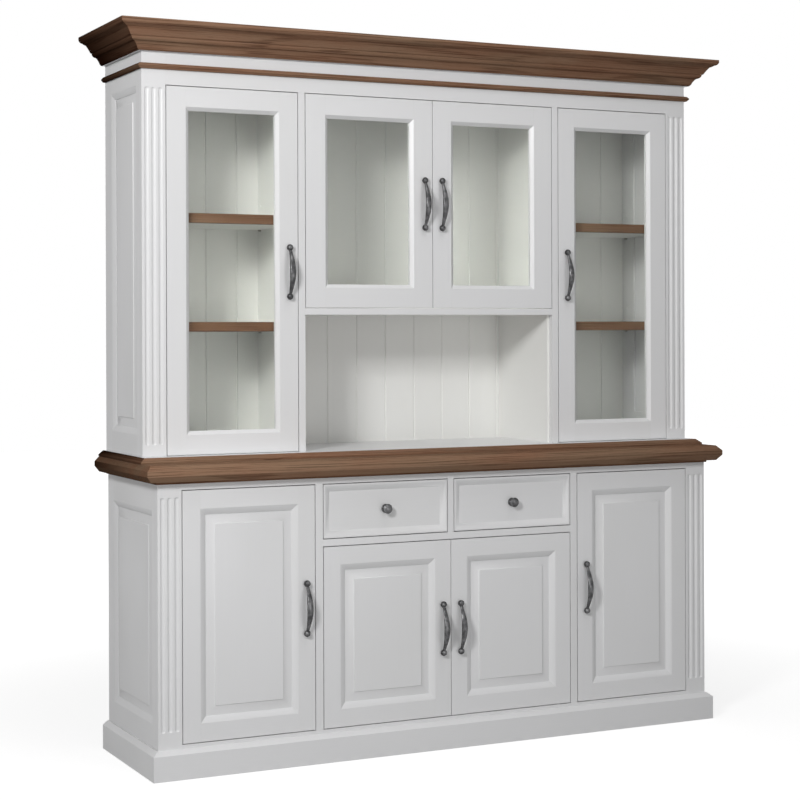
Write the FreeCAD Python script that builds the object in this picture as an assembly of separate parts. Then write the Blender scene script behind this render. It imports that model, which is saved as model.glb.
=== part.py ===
import FreeCAD, Part
import math
import os
from FreeCAD import Rotation, Vector

os.makedirs("parts", exist_ok=True)

# ---------------------------------------------------------------------------
# Dresser with hutch.  Millimetres, Z up, X to the right, the front faces -Y.
# The origin is on the floor under the middle of the worktop.
# ---------------------------------------------------------------------------

# Overall carcass sizes
BASE_WIDTH = 1905.0
HUTCH_WIDTH = 1916.0
BASE_DEPTH = 476.0
HUTCH_DEPTH = 359.0
BASE_HEIGHT = 853.0
HUTCH_HEIGHT = 1192.0

# Board thicknesses
FRAME_THICKNESS = 22.0
SIDE_THICKNESS = 22.0
PARTITION_THICKNESS = 24.0
BOARD_THICKNESS = 18.0
BACK_THICKNESS = 10.0
SHELF_THICKNESS = 29.0

# Face frame
BASE_PILASTER_WIDTH = 73.5
HUTCH_PILASTER_WIDTH = 74.0
BASE_STILE_WIDTH = 24.0
HUTCH_STILE_WIDTH = 22.0
PARTITION_OFFSET = 444.0
BASE_STILE_SHIFT = 1.0
HUTCH_STILE_SHIFT = 5.0
DRAWER_STILE_WIDTH = 20.0
BASE_BOTTOM_RAIL_TOP = 97.0
BASE_TOP_RAIL = 18.0
MIDDLE_RAIL = 21.0
DRAWER_OPENING = 167.0
NICHE_HEIGHT = 418.0
NICHE_RAIL = 20.0
FRIEZE_HEIGHT = 95.5

# Doors and drawer fronts
CLEARANCE = 3.0
HUTCH_DOOR_LIFT = 2.0
DOOR_THICKNESS = 22.0
BASE_DOOR_STILE = 72.0
GLAZED_SIDE_STILE = 71.0
GLAZED_SIDE_RAIL = 70.0
GLAZED_MIDDLE_STILE = 76.0
GLAZED_MIDDLE_RAIL = 72.0
TALL_DOOR_HEIGHT = 900.0

# Raised panels, coved up to a stepped field, and the bevelled frame edge round them
PANEL_EDGE_WIDTH = 18.0
PANEL_EDGE_DEPTH = 9.0
PANEL_RECESS = 10.5
PANEL_COVE_WIDTH = 28.0
PANEL_COVE_RISE = 4.5
PANEL_COVE_FACETS = 4
PANEL_FIELD = 3.5
PANEL_BACK = 16.0
PANEL_STEP = 1.0
PANEL_EXPANSION = 1.0
GROOVE_DEPTH = 10.0
BASE_SIDE_FRONT_STILE = 46.0
BASE_SIDE_REAR_STILE = 70.5
BASE_SIDE_BOTTOM_RAIL = 172.0
BASE_SIDE_TOP_RAIL = 96.0
HUTCH_SIDE_FRONT_STILE = 46.0
HUTCH_SIDE_REAR_STILE = 80.0
HUTCH_SIDE_BOTTOM_RAIL = 81.0
HUTCH_SIDE_TOP_RAIL = 113.5

# Glazing
GLASS_THICKNESS = 4.0
STICKING_WIDTH = 11.0
STICKING_DEPTH = 9.0
REBATE_START = 11.0
REBATE_WIDTH = 9.0

# Flutes
FLUTE_COUNT = 3
FLUTE_PITCH = 21.5
FLUTE_WIDTH = 14.0
FLUTE_RADIUS = 9.0
FLUTE_END_MARGIN_BASE = 38.0
FLUTE_END_MARGIN_HUTCH_LOW = 32.0
FLUTE_END_MARGIN_HUTCH_TOP = 104.0

# Plinth
PLINTH_PROJECTION = 20.0
PLINTH_HEIGHT = 86.0
PLINTH_BEVEL_HEIGHT = 12.5
PLINTH_LEDGE = 5.0

# Worktop
WORKTOP_OVERHANG = 44.0
WORKTOP_THICKNESS = 49.0
WORKTOP_BEVEL = 15.0
WORKTOP_UPPER_BEVEL_HEIGHT = 15.5
WORKTOP_LOWER_BEVEL_HEIGHT = 18.0
UNDERLAY_THICKNESS = 7.0
UNDERLAY_PROJECTION = 6.0

# Board and moulding under the hutch
HUTCH_BOARD_THICKNESS = 17.0
HUTCH_BOARD_FRONT_LEDGE = 47.0
HUTCH_BOARD_SIDE_LEDGE = 10.0
HUTCH_MOULDING_WIDTH = 16.0
HUTCH_MOULDING_NOSE = 5.0
HUTCH_MOULDING_LIP = 1.0

# Hutch top, astragal and cornice
TOP_BOARD_THICKNESS = 18.0
TOP_BOARD_PROJECTION = 10.0
TOP_BOARD_REVEAL = 4.0
ASTRAGAL_HEIGHT = 16.0
ASTRAGAL_PROJECTION = 13.0
ASTRAGAL_NOSE = 3.0
ASTRAGAL_FLAT = 7.0
ASTRAGAL_DROP = 35.0
CORNICE_HEIGHT = 80.0
CORNICE_PROJECTION = 85.0
CORNICE_FOOT = 13.0
CORNICE_TOP_WIDTH = 30.0
CORNICE_SEAT = 22.0
CORNICE_HEEL = 16.0

# Mitred corners are cut this far beyond their moulding
MITRE_MARGIN = 20.0

# Back boards
BACK_BOARD_PITCH = 105.6
BACK_VEE = 3.0
TONGUE_LENGTH = 4.0

# Shelves and pins
SHELF_LOW_HEIGHT = 367.0
SHELF_SPACING = 326.0
SHELF_SETBACK = 7.0
SHELF_CLEARANCE = 1.0
PIN_DIAMETER = 6.0
PIN_LENGTH = 15.0
PIN_DEPTH = 6.0
PIN_SPACING = 80.0
PIN_FRONT_INSET = 22.0
PIN_REAR_INSET = 28.0

# Drawers
DRAWER_SIDE = 12.0
DRAWER_BOX_HEIGHT = 118.0
DRAWER_REAR_GAP = 44.0
DRAWER_BOTTOM = 6.0
DRAWER_BOTTOM_LIFT = 9.0
DRAWER_RUN = 0.5
DRAWER_RIM = 4.0

# Handles, knobs and hinges
HANDLE_SPACING = 150.0
HANDLE_BALL = 19.0
HANDLE_BALL_SEAT = 0.5
HANDLE_BOW = 26.0
HANDLE_NECK = 9.0
HANDLE_GRIP = 16.4
HANDLE_LEG_ANGLE = 24.0
HANDLE_INSET = 29.0
KNOB_DIAMETER = 30.0
KNOB_PROJECTION = 26.0
KNOB_FOOT_DIAMETER = 26.0
KNOB_FOOT_THICKNESS = 2.6
KNOB_NECK_DIAMETER = 12.0
KNOB_RIM_THICKNESS = 2.6
KNOB_DOME_DIAMETER = 24.0
KNOB_DOME_RISE = 2.6
CUP_DIAMETER = 35.0
CUP_DEPTH = 11.5
CUP_INSET = 23.5
CUP_FLANGE = 1.5
CUP_WALL = 1.5
CUP_FLOOR = 1.0
CUP_PLATE_WIDTH = 16.0
CUP_PLATE_LENGTH = 62.0
ARM_GAP = 0.1
ARM_THICKNESS = 9.0
ARM_HALF_WIDTH = 7.0
ARM_TAIL = 55.0
ARM_TAIL_THICKNESS = 11.0
ARM_TIP = 6.0
ARM_FOOT = 30.0
ARM_EDGE_GAP = 3.0
ARM_PLATE_HALF_HEIGHT = 22.0
ARM_PLATE_THICKNESS = 3.0
HINGE_INSET = 100.0

# ---------------------------------------------------------------------------
# Levels and planes that follow from the sizes above
# ---------------------------------------------------------------------------
BASE_HALF = BASE_WIDTH / 2.0
HUTCH_HALF = HUTCH_WIDTH / 2.0
BASE_INNER = BASE_HALF - SIDE_THICKNESS
HUTCH_INNER = HUTCH_HALF - SIDE_THICKNESS
BACK_Y = (BASE_DEPTH + WORKTOP_OVERHANG) / 2.0
BASE_Y = BACK_Y - BASE_DEPTH
HUTCH_Y = BACK_Y - HUTCH_DEPTH
INSIDE_BACK_Y = BACK_Y - BACK_THICKNESS
BASE_INSIDE_Y = BASE_Y + FRAME_THICKNESS
HUTCH_INSIDE_Y = HUTCH_Y + FRAME_THICKNESS

UNDERLAY_TOP = BASE_HEIGHT + UNDERLAY_THICKNESS
WORKTOP_TOP = UNDERLAY_TOP + WORKTOP_THICKNESS
HUTCH_FLOOR = WORKTOP_TOP + HUTCH_BOARD_THICKNESS
HUTCH_TOP = HUTCH_FLOOR + HUTCH_HEIGHT
FRIEZE_BOTTOM = HUTCH_TOP - FRIEZE_HEIGHT
CORNICE_BOTTOM = HUTCH_TOP + TOP_BOARD_REVEAL
NICHE_TOP = HUTCH_FLOOR + NICHE_HEIGHT
NICHE_RAIL_TOP = NICHE_TOP + NICHE_RAIL

BASE_RAIL_BOTTOM = BASE_HEIGHT - BASE_TOP_RAIL
DRAWER_FLOOR = BASE_RAIL_BOTTOM - DRAWER_OPENING
MIDDLE_RAIL_BOTTOM = DRAWER_FLOOR - MIDDLE_RAIL

BASE_PILASTER_EDGE = BASE_HALF - BASE_PILASTER_WIDTH
HUTCH_PILASTER_EDGE = HUTCH_HALF - HUTCH_PILASTER_WIDTH
PARTITION_IN = PARTITION_OFFSET - PARTITION_THICKNESS / 2.0
PARTITION_OUT = PARTITION_OFFSET + PARTITION_THICKNESS / 2.0
BASE_STILE_IN = PARTITION_OFFSET + BASE_STILE_SHIFT - BASE_STILE_WIDTH / 2.0
BASE_STILE_OUT = BASE_STILE_IN + BASE_STILE_WIDTH
HUTCH_STILE_IN = PARTITION_OFFSET + HUTCH_STILE_SHIFT - HUTCH_STILE_WIDTH / 2.0
HUTCH_STILE_OUT = HUTCH_STILE_IN + HUTCH_STILE_WIDTH


# ---------------------------------------------------------------------------
# Shape helpers
# ---------------------------------------------------------------------------
def block(x0, x1, y0, y1, z0, z1):
    """Rectangular board between three pairs of planes."""
    return Part.makeBox(x1 - x0, y1 - y0, z1 - z0, Vector(x0, y0, z0))


def mirrored(shape):
    """The same piece on the other side of the middle plane."""
    return shape.mirror(Vector(0, 0, 0), Vector(1, 0, 0))


def both_sides(shapes):
    """Left-hand pieces together with their right-hand twins."""
    return shapes + [mirrored(shape) for shape in shapes]


def polygon_prism(points, direction):
    """Closed polygon swept along a straight vector."""
    wire = Part.makePolygon(points + [points[0]])
    return Part.Face(wire).extrude(direction)


def stacked_rings(rings):
    """Solid through a series of closed rings with flat faces between them."""
    faces = [Part.Face(Part.makePolygon(rings[0] + [rings[0][0]]))]
    faces.append(Part.Face(Part.makePolygon(rings[-1] + [rings[-1][0]])))
    for lower, upper in zip(rings, rings[1:]):
        for index in range(len(lower)):
            following = (index + 1) % len(lower)
            corners = [lower[index], lower[following]]
            corners += [upper[following], upper[index], lower[index]]
            faces.append(Part.Face(Part.makePolygon(corners)))
    solid = Part.Solid(Part.Shell(faces))
    if solid.Volume < 0:
        solid.reverse()
    return solid


def upright_ring(x0, x1, z0, z1, y, inset):
    """Rectangle in a plane facing the front, drawn in by an inset."""
    return [
        Vector(x0 + inset, y, z0 + inset),
        Vector(x1 - inset, y, z0 + inset),
        Vector(x1 - inset, y, z1 - inset),
        Vector(x0 + inset, y, z1 - inset),
    ]


def level_ring(half_width, front_y, back_y, z, inset):
    """Rectangle at one height, drawn in at the front and both ends only."""
    return [
        Vector(-half_width + inset, front_y + inset, z),
        Vector(half_width - inset, front_y + inset, z),
        Vector(half_width - inset, back_y, z),
        Vector(-half_width + inset, back_y, z),
    ]


def profile_face(steps, place):
    """Face from (offset, height) steps; a step of two points is an arc."""
    edges = []
    start = steps[0]
    for step in steps[1:]:
        if isinstance(step[0], tuple):
            middle, end = step
            edges.append(Part.Arc(place(start), place(middle), place(end)).toShape())
        else:
            end = step
            edges.append(Part.makeLine(place(start), place(end)))
        start = end
    edges.append(Part.makeLine(place(start), place(steps[0])))
    return Part.Face(Part.Wire(edges))


def mitred_trim(steps, half_width, front_y, back_y):
    """Moulding along the front and both ends, mitred at the front corners."""
    reach = max(abs(place[0]) for place in steps if not isinstance(place[0], tuple))
    reach += MITRE_MARGIN
    inward = reach
    span = half_width + reach
    front = profile_face(steps, lambda p: Vector(-span, front_y - p[0], p[1]))
    front = front.extrude(Vector(2.0 * span, 0, 0))
    low = -MITRE_MARGIN
    tall = Vector(0, 0, CORNICE_BOTTOM + CORNICE_HEIGHT + 2.0 * MITRE_MARGIN)
    front_plan = [
        Vector(-half_width - reach, front_y - reach, low),
        Vector(half_width + reach, front_y - reach, low),
        Vector(half_width - inward, front_y + inward, low),
        Vector(-half_width + inward, front_y + inward, low),
    ]
    left_plan = [
        Vector(-half_width - reach, front_y - reach, low),
        Vector(-half_width + inward, front_y + inward, low),
        Vector(-half_width + inward, back_y, low),
        Vector(-half_width - reach, back_y, low),
    ]
    front = front.common(polygon_prism(front_plan, tall))
    left = profile_face(steps, lambda p: Vector(-half_width - p[0], front_y - reach, p[1]))
    left = left.extrude(Vector(0, back_y - front_y + reach, 0))
    left = left.common(polygon_prism(left_plan, tall))
    return [front, left, mirrored(left)]


def export(name, solids):
    """Write one named node as a STEP file."""
    pieces = []
    for shape in solids:
        pieces.extend(shape.Solids)
    if len(pieces) == 1:
        result = pieces[0]
    else:
        result = Part.makeCompound(pieces)
    result.exportStep("parts/" + name + ".step")


# ---------------------------------------------------------------------------
# Frame-and-panel work, drawn with its face in the plane y = 0
# ---------------------------------------------------------------------------
def framed_opening(flat, sight, depth, thickness):
    """Cutter for an opening whose edge slopes from the flat of a frame to its sight line."""
    return stacked_rings([
        upright_ring(*flat, 0.0, 0.0),
        upright_ring(*sight, depth, 0.0),
        upright_ring(*sight, thickness, 0.0),
    ])


def split_frame(frame, width, height, flat, sight, thickness):
    """Two stiles and two rails, their sloping edges mitred at the corners."""
    fx0, fx1, fz0, fz1 = flat
    sx0, sx1, sz0, sz1 = sight
    plans = []
    for x, flat_x, sight_x in ((0.0, fx0, sx0), (width, fx1, sx1)):
        plans.append([(x, 0.0), (flat_x, 0.0), (flat_x, fz0), (sight_x, sz0),
                      (sight_x, sz1), (flat_x, fz1), (flat_x, height), (x, height)])
    for z, flat_z, sight_z in ((0.0, fz0, sz0), (height, fz1, sz1)):
        plans.append([(fx0, z), (fx1, z), (fx1, flat_z), (sx1, sight_z),
                      (sx0, sight_z), (fx0, flat_z)])
    depth = Vector(0, thickness, 0)
    pieces = []
    for plan in plans:
        outline = [Vector(x, 0, z) for x, z in plan]
        pieces.append(frame.common(polygon_prism(outline, depth)))
    return pieces


def panelled_frame(width, height, left, right, bottom, top, thickness):
    """Two stiles, two rails and the raised panel held in their grooves."""
    sight = (left, width - right, bottom, height - top)
    edge = PANEL_EDGE_WIDTH
    flat = (left - edge, width - right + edge, bottom - edge, height - top + edge)
    x0, x1, z0, z1 = sight
    groove = block(x0 - GROOVE_DEPTH, x1 + GROOVE_DEPTH, PANEL_RECESS, PANEL_BACK,
                   z0 - GROOVE_DEPTH, z1 + GROOVE_DEPTH)
    frame = block(0, width, 0, thickness, 0, height)
    frame = frame.cut(framed_opening(flat, sight, PANEL_EDGE_DEPTH, thickness)).cut(groove)
    pieces = split_frame(frame, width, height, flat, sight, thickness)

    tongue = PANEL_EXPANSION - GROOVE_DEPTH
    rings = [
        upright_ring(*sight, PANEL_BACK, tongue),
        upright_ring(*sight, PANEL_RECESS, tongue),
        upright_ring(*sight, PANEL_RECESS, 0.0),
    ]
    for index in range(1, PANEL_COVE_FACETS + 1):
        share = index / PANEL_COVE_FACETS
        rise = PANEL_COVE_RISE * share * share
        rings.append(upright_ring(*sight, PANEL_RECESS - rise, PANEL_COVE_WIDTH * share))
    rings.append(upright_ring(*sight, PANEL_FIELD, PANEL_COVE_WIDTH + PANEL_STEP))
    return pieces, stacked_rings(rings)


def glazed_frame(width, height, stile, rail, thickness):
    """Stiles and rails with a bevelled inner edge, glass and its beads."""
    sight = (stile, width - stile, rail, height - rail)
    edge = STICKING_WIDTH
    flat = (stile - edge, width - stile + edge, rail - edge, height - rail + edge)
    rebate = block(stile - REBATE_WIDTH, width - stile + REBATE_WIDTH,
                   REBATE_START, thickness,
                   rail - REBATE_WIDTH, height - rail + REBATE_WIDTH)
    frame = block(0, width, 0, thickness, 0, height)
    frame = frame.cut(framed_opening(flat, sight, STICKING_DEPTH, thickness)).cut(rebate)
    pieces = split_frame(frame, width, height, flat, sight, thickness)
    glass_back = REBATE_START + GLASS_THICKNESS
    glass = block(stile - REBATE_WIDTH, width - stile + REBATE_WIDTH,
                  REBATE_START, glass_back,
                  rail - REBATE_WIDTH, height - rail + REBATE_WIDTH)
    low = rail - REBATE_WIDTH
    high = height - low
    near = stile - REBATE_WIDTH
    far = width - near
    beads = [
        block(near, stile, glass_back, thickness, low, high),
        block(width - stile, far, glass_back, thickness, low, high),
        block(stile, width - stile, glass_back, thickness, low, rail),
        block(stile, width - stile, glass_back, thickness, height - rail, high),
    ]
    return pieces + beads, glass


# ---------------------------------------------------------------------------
# Hardware, drawn on a face in the plane y = 0 and standing out towards -Y
# ---------------------------------------------------------------------------
def bow_handle():
    """Bow pull: a curved grip, two tapering legs tangent to it, a ball at each end."""
    half = HANDLE_SPACING / 2.0
    ball = HANDLE_BALL / 2.0
    seat = ball - HANDLE_BALL_SEAT
    neck = HANDLE_NECK / 2.0
    grip = HANDLE_GRIP / 2.0
    angle = math.radians(HANDLE_LEG_ANGLE)
    rise = HANDLE_BOW
    bend = (half * math.tan(angle) - rise) / (1.0 / math.cos(angle) - 1.0)
    leg = (half - bend * math.sin(angle)) / math.cos(angle)
    crown = -seat - rise
    centre = Vector(0, crown + bend, 0)
    section = Part.Face(Part.Wire(Part.makeCircle(grip, Vector(0, crown, 0), Vector(0, 0, 1))))
    section.rotate(centre, Vector(1, 0, 0), -HANDLE_LEG_ANGLE)
    handle = section.revolve(centre, Vector(1, 0, 0), 2.0 * HANDLE_LEG_ANGLE)
    for side in (-1.0, 1.0):
        along = Vector(0, math.sin(angle), side * math.cos(angle))
        end = Vector(0, -seat, side * half)
        start = end - along * leg
        handle = handle.fuse(Part.makeCone(grip, neck, leg, start, along))
        handle = handle.fuse(Part.makeSphere(ball, end))
    wide = HANDLE_SPACING + 4.0 * HANDLE_BALL
    behind = block(-wide, wide, 0, wide, -wide, wide)
    return handle.cut(behind)


def round_knob():
    """Turned knob: foot disc, flared neck, rim and a shallow dome."""
    foot = KNOB_FOOT_DIAMETER / 2.0
    neck = KNOB_NECK_DIAMETER / 2.0
    head = KNOB_DIAMETER / 2.0
    dome = KNOB_DOME_DIAMETER / 2.0
    dome_z = KNOB_PROJECTION - KNOB_DOME_RISE
    rim_top = dome_z - KNOB_RIM_THICKNESS
    rim_low = rim_top - KNOB_RIM_THICKNESS
    flare = rim_low - KNOB_RIM_THICKNESS
    radius = (dome * dome + KNOB_DOME_RISE * KNOB_DOME_RISE) / (2.0 * KNOB_DOME_RISE)
    half_angle = math.asin(dome / radius) / 2.0
    dome_middle = (radius * math.sin(half_angle),
                   KNOB_PROJECTION - radius * (1.0 - math.cos(half_angle)))
    waist = (KNOB_FOOT_THICKNESS + flare) / 2.0
    steps = [
        (0.0, 0.0),
        (foot, 0.0),
        (foot, KNOB_FOOT_THICKNESS),
        (neck * 1.1, (KNOB_FOOT_THICKNESS + waist) / 2.0),
        (neck, waist),
        (head * 0.85, flare),
        (head, rim_low),
        (head, rim_top),
        (dome, dome_z),
        (dome_middle, (0.0, KNOB_PROJECTION)),
    ]
    face = profile_face(steps, lambda p: Vector(p[0], -p[1], 0))
    return face.revolve(Vector(0, 0, 0), Vector(0, 1, 0), 360)


def hinge_cup(thickness):
    """Pressed cup in the back of a door with its screw flange."""
    front = thickness - CUP_DEPTH
    back = thickness + CUP_FLANGE
    along = Vector(0, 1, 0)
    cup = Part.makeCylinder(CUP_DIAMETER / 2.0, CUP_DEPTH, Vector(0, front, 0), along)
    half_width = CUP_PLATE_WIDTH / 2.0
    half_length = CUP_PLATE_LENGTH / 2.0
    flange = block(-half_width, half_width, thickness, back, -half_length, half_length)
    radius = CUP_DIAMETER / 2.0
    disc = Part.makeCylinder(radius + CUP_WALL, CUP_FLANGE, Vector(0, thickness, 0), along)
    hollow_start = Vector(0, front + CUP_FLOOR, 0)
    hollow = Part.makeCylinder(radius - CUP_WALL, thickness, hollow_start, along)
    return cup.fuse(flange).fuse(disc).cut(hollow).removeSplitter()


def cup_bore(thickness):
    """Hole in the back of the stile that takes the cup, open behind it."""
    start = Vector(0, thickness - CUP_DEPTH, 0)
    return Part.makeCylinder(CUP_DIAMETER / 2.0, 2.0 * CUP_DEPTH, start, Vector(0, 1, 0))


def span_box(xa, xb, y0, y1, z0, z1):
    """Block between two X planes given in either order."""
    return block(min(xa, xb), max(xa, xb), y0, y1, z0, z1)


def hinge_arm(cup_x, wall_x, face_y, on_partition):
    """Mounting plate and arm that reach from the carcass to the cup."""
    front = face_y + DOOR_THICKNESS + CUP_FLANGE + ARM_GAP
    back = front + ARM_THICKNESS
    side = 1.0 if wall_x > cup_x else -1.0
    tip = cup_x - side * ARM_TIP
    low = -ARM_HALF_WIDTH
    high = ARM_HALF_WIDTH
    plate_low = -ARM_PLATE_HALF_HEIGHT
    plate_high = ARM_PLATE_HALF_HEIGHT
    if on_partition:
        arm = span_box(tip, wall_x, front, back, low, high)
        tail_x = wall_x - side * ARM_TAIL_THICKNESS
        tail = span_box(tail_x, wall_x, front, front + ARM_TAIL, low, high)
        plate_x = wall_x - side * ARM_PLATE_THICKNESS
        plate = span_box(plate_x, wall_x, back + ARM_THICKNESS, front + ARM_TAIL - ARM_EDGE_GAP,
                         plate_low, plate_high)
        return arm.fuse(tail).fuse(plate).removeSplitter()
    end = wall_x + side * ARM_FOOT
    arm = span_box(tip, end, front, back, low, high)
    foot = span_box(wall_x + side * ARM_EDGE_GAP, end, face_y + FRAME_THICKNESS,
                    front + ARM_PLATE_THICKNESS, plate_low, plate_high)
    return arm.fuse(foot).removeSplitter()


# ---------------------------------------------------------------------------
# Doors
# ---------------------------------------------------------------------------
HINGE_ARMS = []


def hinge_heights(height):
    """Heights of the hinges on a door, three on a tall one."""
    heights = [HINGE_INSET, height - HINGE_INSET]
    if height > TALL_DOOR_HEIGHT:
        heights.insert(1, height / 2.0)
    return heights


def door(name, x0, x1, z0, z1, face_y, hinged_left, stile, rail, glazed, wall):
    """Build and export one door; also place its hinge arms on the carcass."""
    width = x1 - x0
    height = z1 - z0
    if glazed:
        pieces, infill = glazed_frame(width, height, stile, rail, DOOR_THICKNESS)
        infill_name = name + "_glass"
    else:
        pieces, infill = panelled_frame(width, height, stile, stile, rail, rail, DOOR_THICKNESS)
        infill_name = name + "_panel"
    if hinged_left:
        cup_x = CUP_INSET
        handle_x = width - HANDLE_INSET
    else:
        cup_x = width - CUP_INSET
        handle_x = HANDLE_INSET
    corner = Vector(x0, face_y, z0)
    cups = []
    for level in hinge_heights(height):
        place = Vector(cup_x, 0, level)
        bore = cup_bore(DOOR_THICKNESS)
        bore.translate(place)
        pieces = [piece.cut(bore) for piece in pieces]
        cup = hinge_cup(DOOR_THICKNESS)
        cup.translate(place + corner)
        cups.append(cup)
        wall_x, on_partition = wall
        arm = hinge_arm(x0 + cup_x, wall_x, face_y, on_partition)
        arm.translate(Vector(0, 0, z0 + level))
        HINGE_ARMS.append(arm)
    for piece in pieces:
        piece.translate(corner)
    infill.translate(corner)
    handle = bow_handle()
    handle.translate(corner + Vector(handle_x, 0, height / 2.0))
    export(name + "_frame", pieces)
    export(infill_name, [infill])
    export(name + "_handle", [handle])
    export(name + "_hinge_cups", cups)


def build_doors():
    """The four panelled base doors and the four glazed hutch doors."""
    base_z0 = BASE_BOTTOM_RAIL_TOP + CLEARANCE
    side_z1 = BASE_RAIL_BOTTOM - CLEARANCE
    middle_z1 = MIDDLE_RAIL_BOTTOM - CLEARANCE
    hutch_z0 = HUTCH_FLOOR + HUTCH_DOOR_LIFT
    hutch_z1 = FRIEZE_BOTTOM - CLEARANCE
    glazed_z0 = NICHE_RAIL_TOP + HUTCH_DOOR_LIFT
    base_outer = BASE_PILASTER_EDGE - CLEARANCE
    base_in = BASE_STILE_OUT + CLEARANCE
    base_mid = BASE_STILE_IN - CLEARANCE
    hutch_outer = HUTCH_PILASTER_EDGE - CLEARANCE
    hutch_in = HUTCH_STILE_OUT + CLEARANCE
    hutch_mid = HUTCH_STILE_IN - CLEARANCE
    meeting = CLEARANCE / 2.0
    sides = (-1.0, 1.0)
    for side in sides:
        hinged_left = side < 0
        hand = "left" if hinged_left else "right"
        base_pilaster = (side * BASE_PILASTER_EDGE, False)
        hutch_pilaster = (side * HUTCH_PILASTER_EDGE, False)
        partition = (side * PARTITION_IN, True)
        spans = {
            "outer_base": sorted((side * base_outer, side * base_in)),
            "inner_base": sorted((side * base_mid, side * meeting)),
            "outer_hutch": sorted((side * hutch_outer, side * hutch_in)),
            "inner_hutch": sorted((side * hutch_mid, side * meeting)),
        }
        x0, x1 = spans["outer_base"]
        door("base_door_" + hand, x0, x1, base_z0, side_z1, BASE_Y, hinged_left,
             BASE_DOOR_STILE, BASE_DOOR_STILE, False, base_pilaster)
        x0, x1 = spans["inner_base"]
        door("base_door_mid_" + hand, x0, x1, base_z0, middle_z1, BASE_Y, hinged_left,
             BASE_DOOR_STILE, BASE_DOOR_STILE, False, partition)
        x0, x1 = spans["outer_hutch"]
        door("hutch_door_" + hand, x0, x1, hutch_z0, hutch_z1, HUTCH_Y, hinged_left,
             GLAZED_SIDE_STILE, GLAZED_SIDE_RAIL, True, hutch_pilaster)
        x0, x1 = spans["inner_hutch"]
        door("hutch_door_mid_" + hand, x0, x1, glazed_z0, hutch_z1, HUTCH_Y, hinged_left,
             GLAZED_MIDDLE_STILE, GLAZED_MIDDLE_RAIL, True, partition)
    export("hinge_arms", HINGE_ARMS)


# ---------------------------------------------------------------------------
# Drawers
# ---------------------------------------------------------------------------
def drawer(name, x0, x1):
    """Drawer front with its sunk field, box and knob between two upright edges."""
    z0 = DRAWER_FLOOR + CLEARANCE
    z1 = BASE_RAIL_BOTTOM - CLEARANCE
    sunk_y = BASE_Y + PANEL_EDGE_DEPTH
    sunk = stacked_rings([
        upright_ring(x0, x1, z0, z1, BASE_Y, DRAWER_RIM),
        upright_ring(x0, x1, z0, z1, sunk_y, DRAWER_RIM + PANEL_EDGE_WIDTH),
    ])
    box_y0 = BASE_Y + DOOR_THICKNESS
    front = block(x0, x1, BASE_Y, box_y0, z0, z1).cut(sunk)
    box_y1 = INSIDE_BACK_Y - DRAWER_REAR_GAP
    low = DRAWER_FLOOR + DRAWER_RUN
    high = low + DRAWER_BOX_HEIGHT
    bottom_z = low + DRAWER_BOTTOM_LIFT
    bottom_top = bottom_z + DRAWER_BOTTOM
    in0 = x0 + DRAWER_SIDE
    in1 = x1 - DRAWER_SIDE
    groove = DRAWER_SIDE / 2.0
    bottom = block(in0 - groove, in1 + groove, box_y0, box_y1, bottom_z, bottom_top)
    left = block(x0, in0, box_y0, box_y1, low, high).cut(bottom)
    right = block(in1, x1, box_y0, box_y1, low, high).cut(bottom)
    back = block(in0, in1, box_y1 - DRAWER_SIDE, box_y1, bottom_top, high)
    knob = round_knob()
    knob.translate(Vector((x0 + x1) / 2.0, sunk_y, (z0 + z1) / 2.0))
    export(name + "_front", [front])
    export(name + "_box", [left, right, back, bottom])
    export(name + "_knob", [knob])


def build_drawers():
    """Two drawers side by side above the middle doors."""
    inner = DRAWER_STILE_WIDTH / 2.0 + CLEARANCE
    outer = BASE_STILE_IN - CLEARANCE
    drawer("drawer_left", -outer, -inner)
    drawer("drawer_right", inner, outer)


# ---------------------------------------------------------------------------
# Carcass pieces shared by base and hutch
# ---------------------------------------------------------------------------
def fluted_pilaster(outer, inner, face_y, z0, z1, low_margin, top_margin):
    """Left-hand corner stile with flutes cut in its face."""
    post = block(-outer, -inner, face_y, face_y + FRAME_THICKNESS, z0, z1)
    middle = -(outer + inner) / 2.0
    half = FLUTE_WIDTH / 2.0
    stand = math.sqrt(FLUTE_RADIUS * FLUTE_RADIUS - half * half)
    start = z0 + low_margin + half
    length = z1 - top_margin - half - start
    for index in range(FLUTE_COUNT):
        x = middle + (index - (FLUTE_COUNT - 1) / 2.0) * FLUTE_PITCH
        foot = Vector(x, face_y - stand, start)
        head = Vector(x, face_y - stand, start + length)
        cutter = Part.makeCylinder(FLUTE_RADIUS, length, foot, Vector(0, 0, 1))
        post = post.cut(cutter)
        for end in (foot, head):
            post = post.cut(Part.makeSphere(FLUTE_RADIUS, end))
    return post


def side_assembly(half_width, front_y, z0, z1, front, rear, bottom, top):
    """Left-hand framed side with its raised panel facing outward."""
    width = BACK_Y - front_y
    height = z1 - z0
    pieces, panel = panelled_frame(width, height, rear, front, bottom, top, SIDE_THICKNESS)
    place = FreeCAD.Placement(Vector(-half_width, BACK_Y, z0), Rotation(Vector(0, 0, 1), -90))
    placed = []
    for shape in pieces + [panel]:
        copy = shape.copy()
        copy.Placement = place.multiply(copy.Placement)
        placed.append(copy)
    return placed[:-1], placed[-1]


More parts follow.
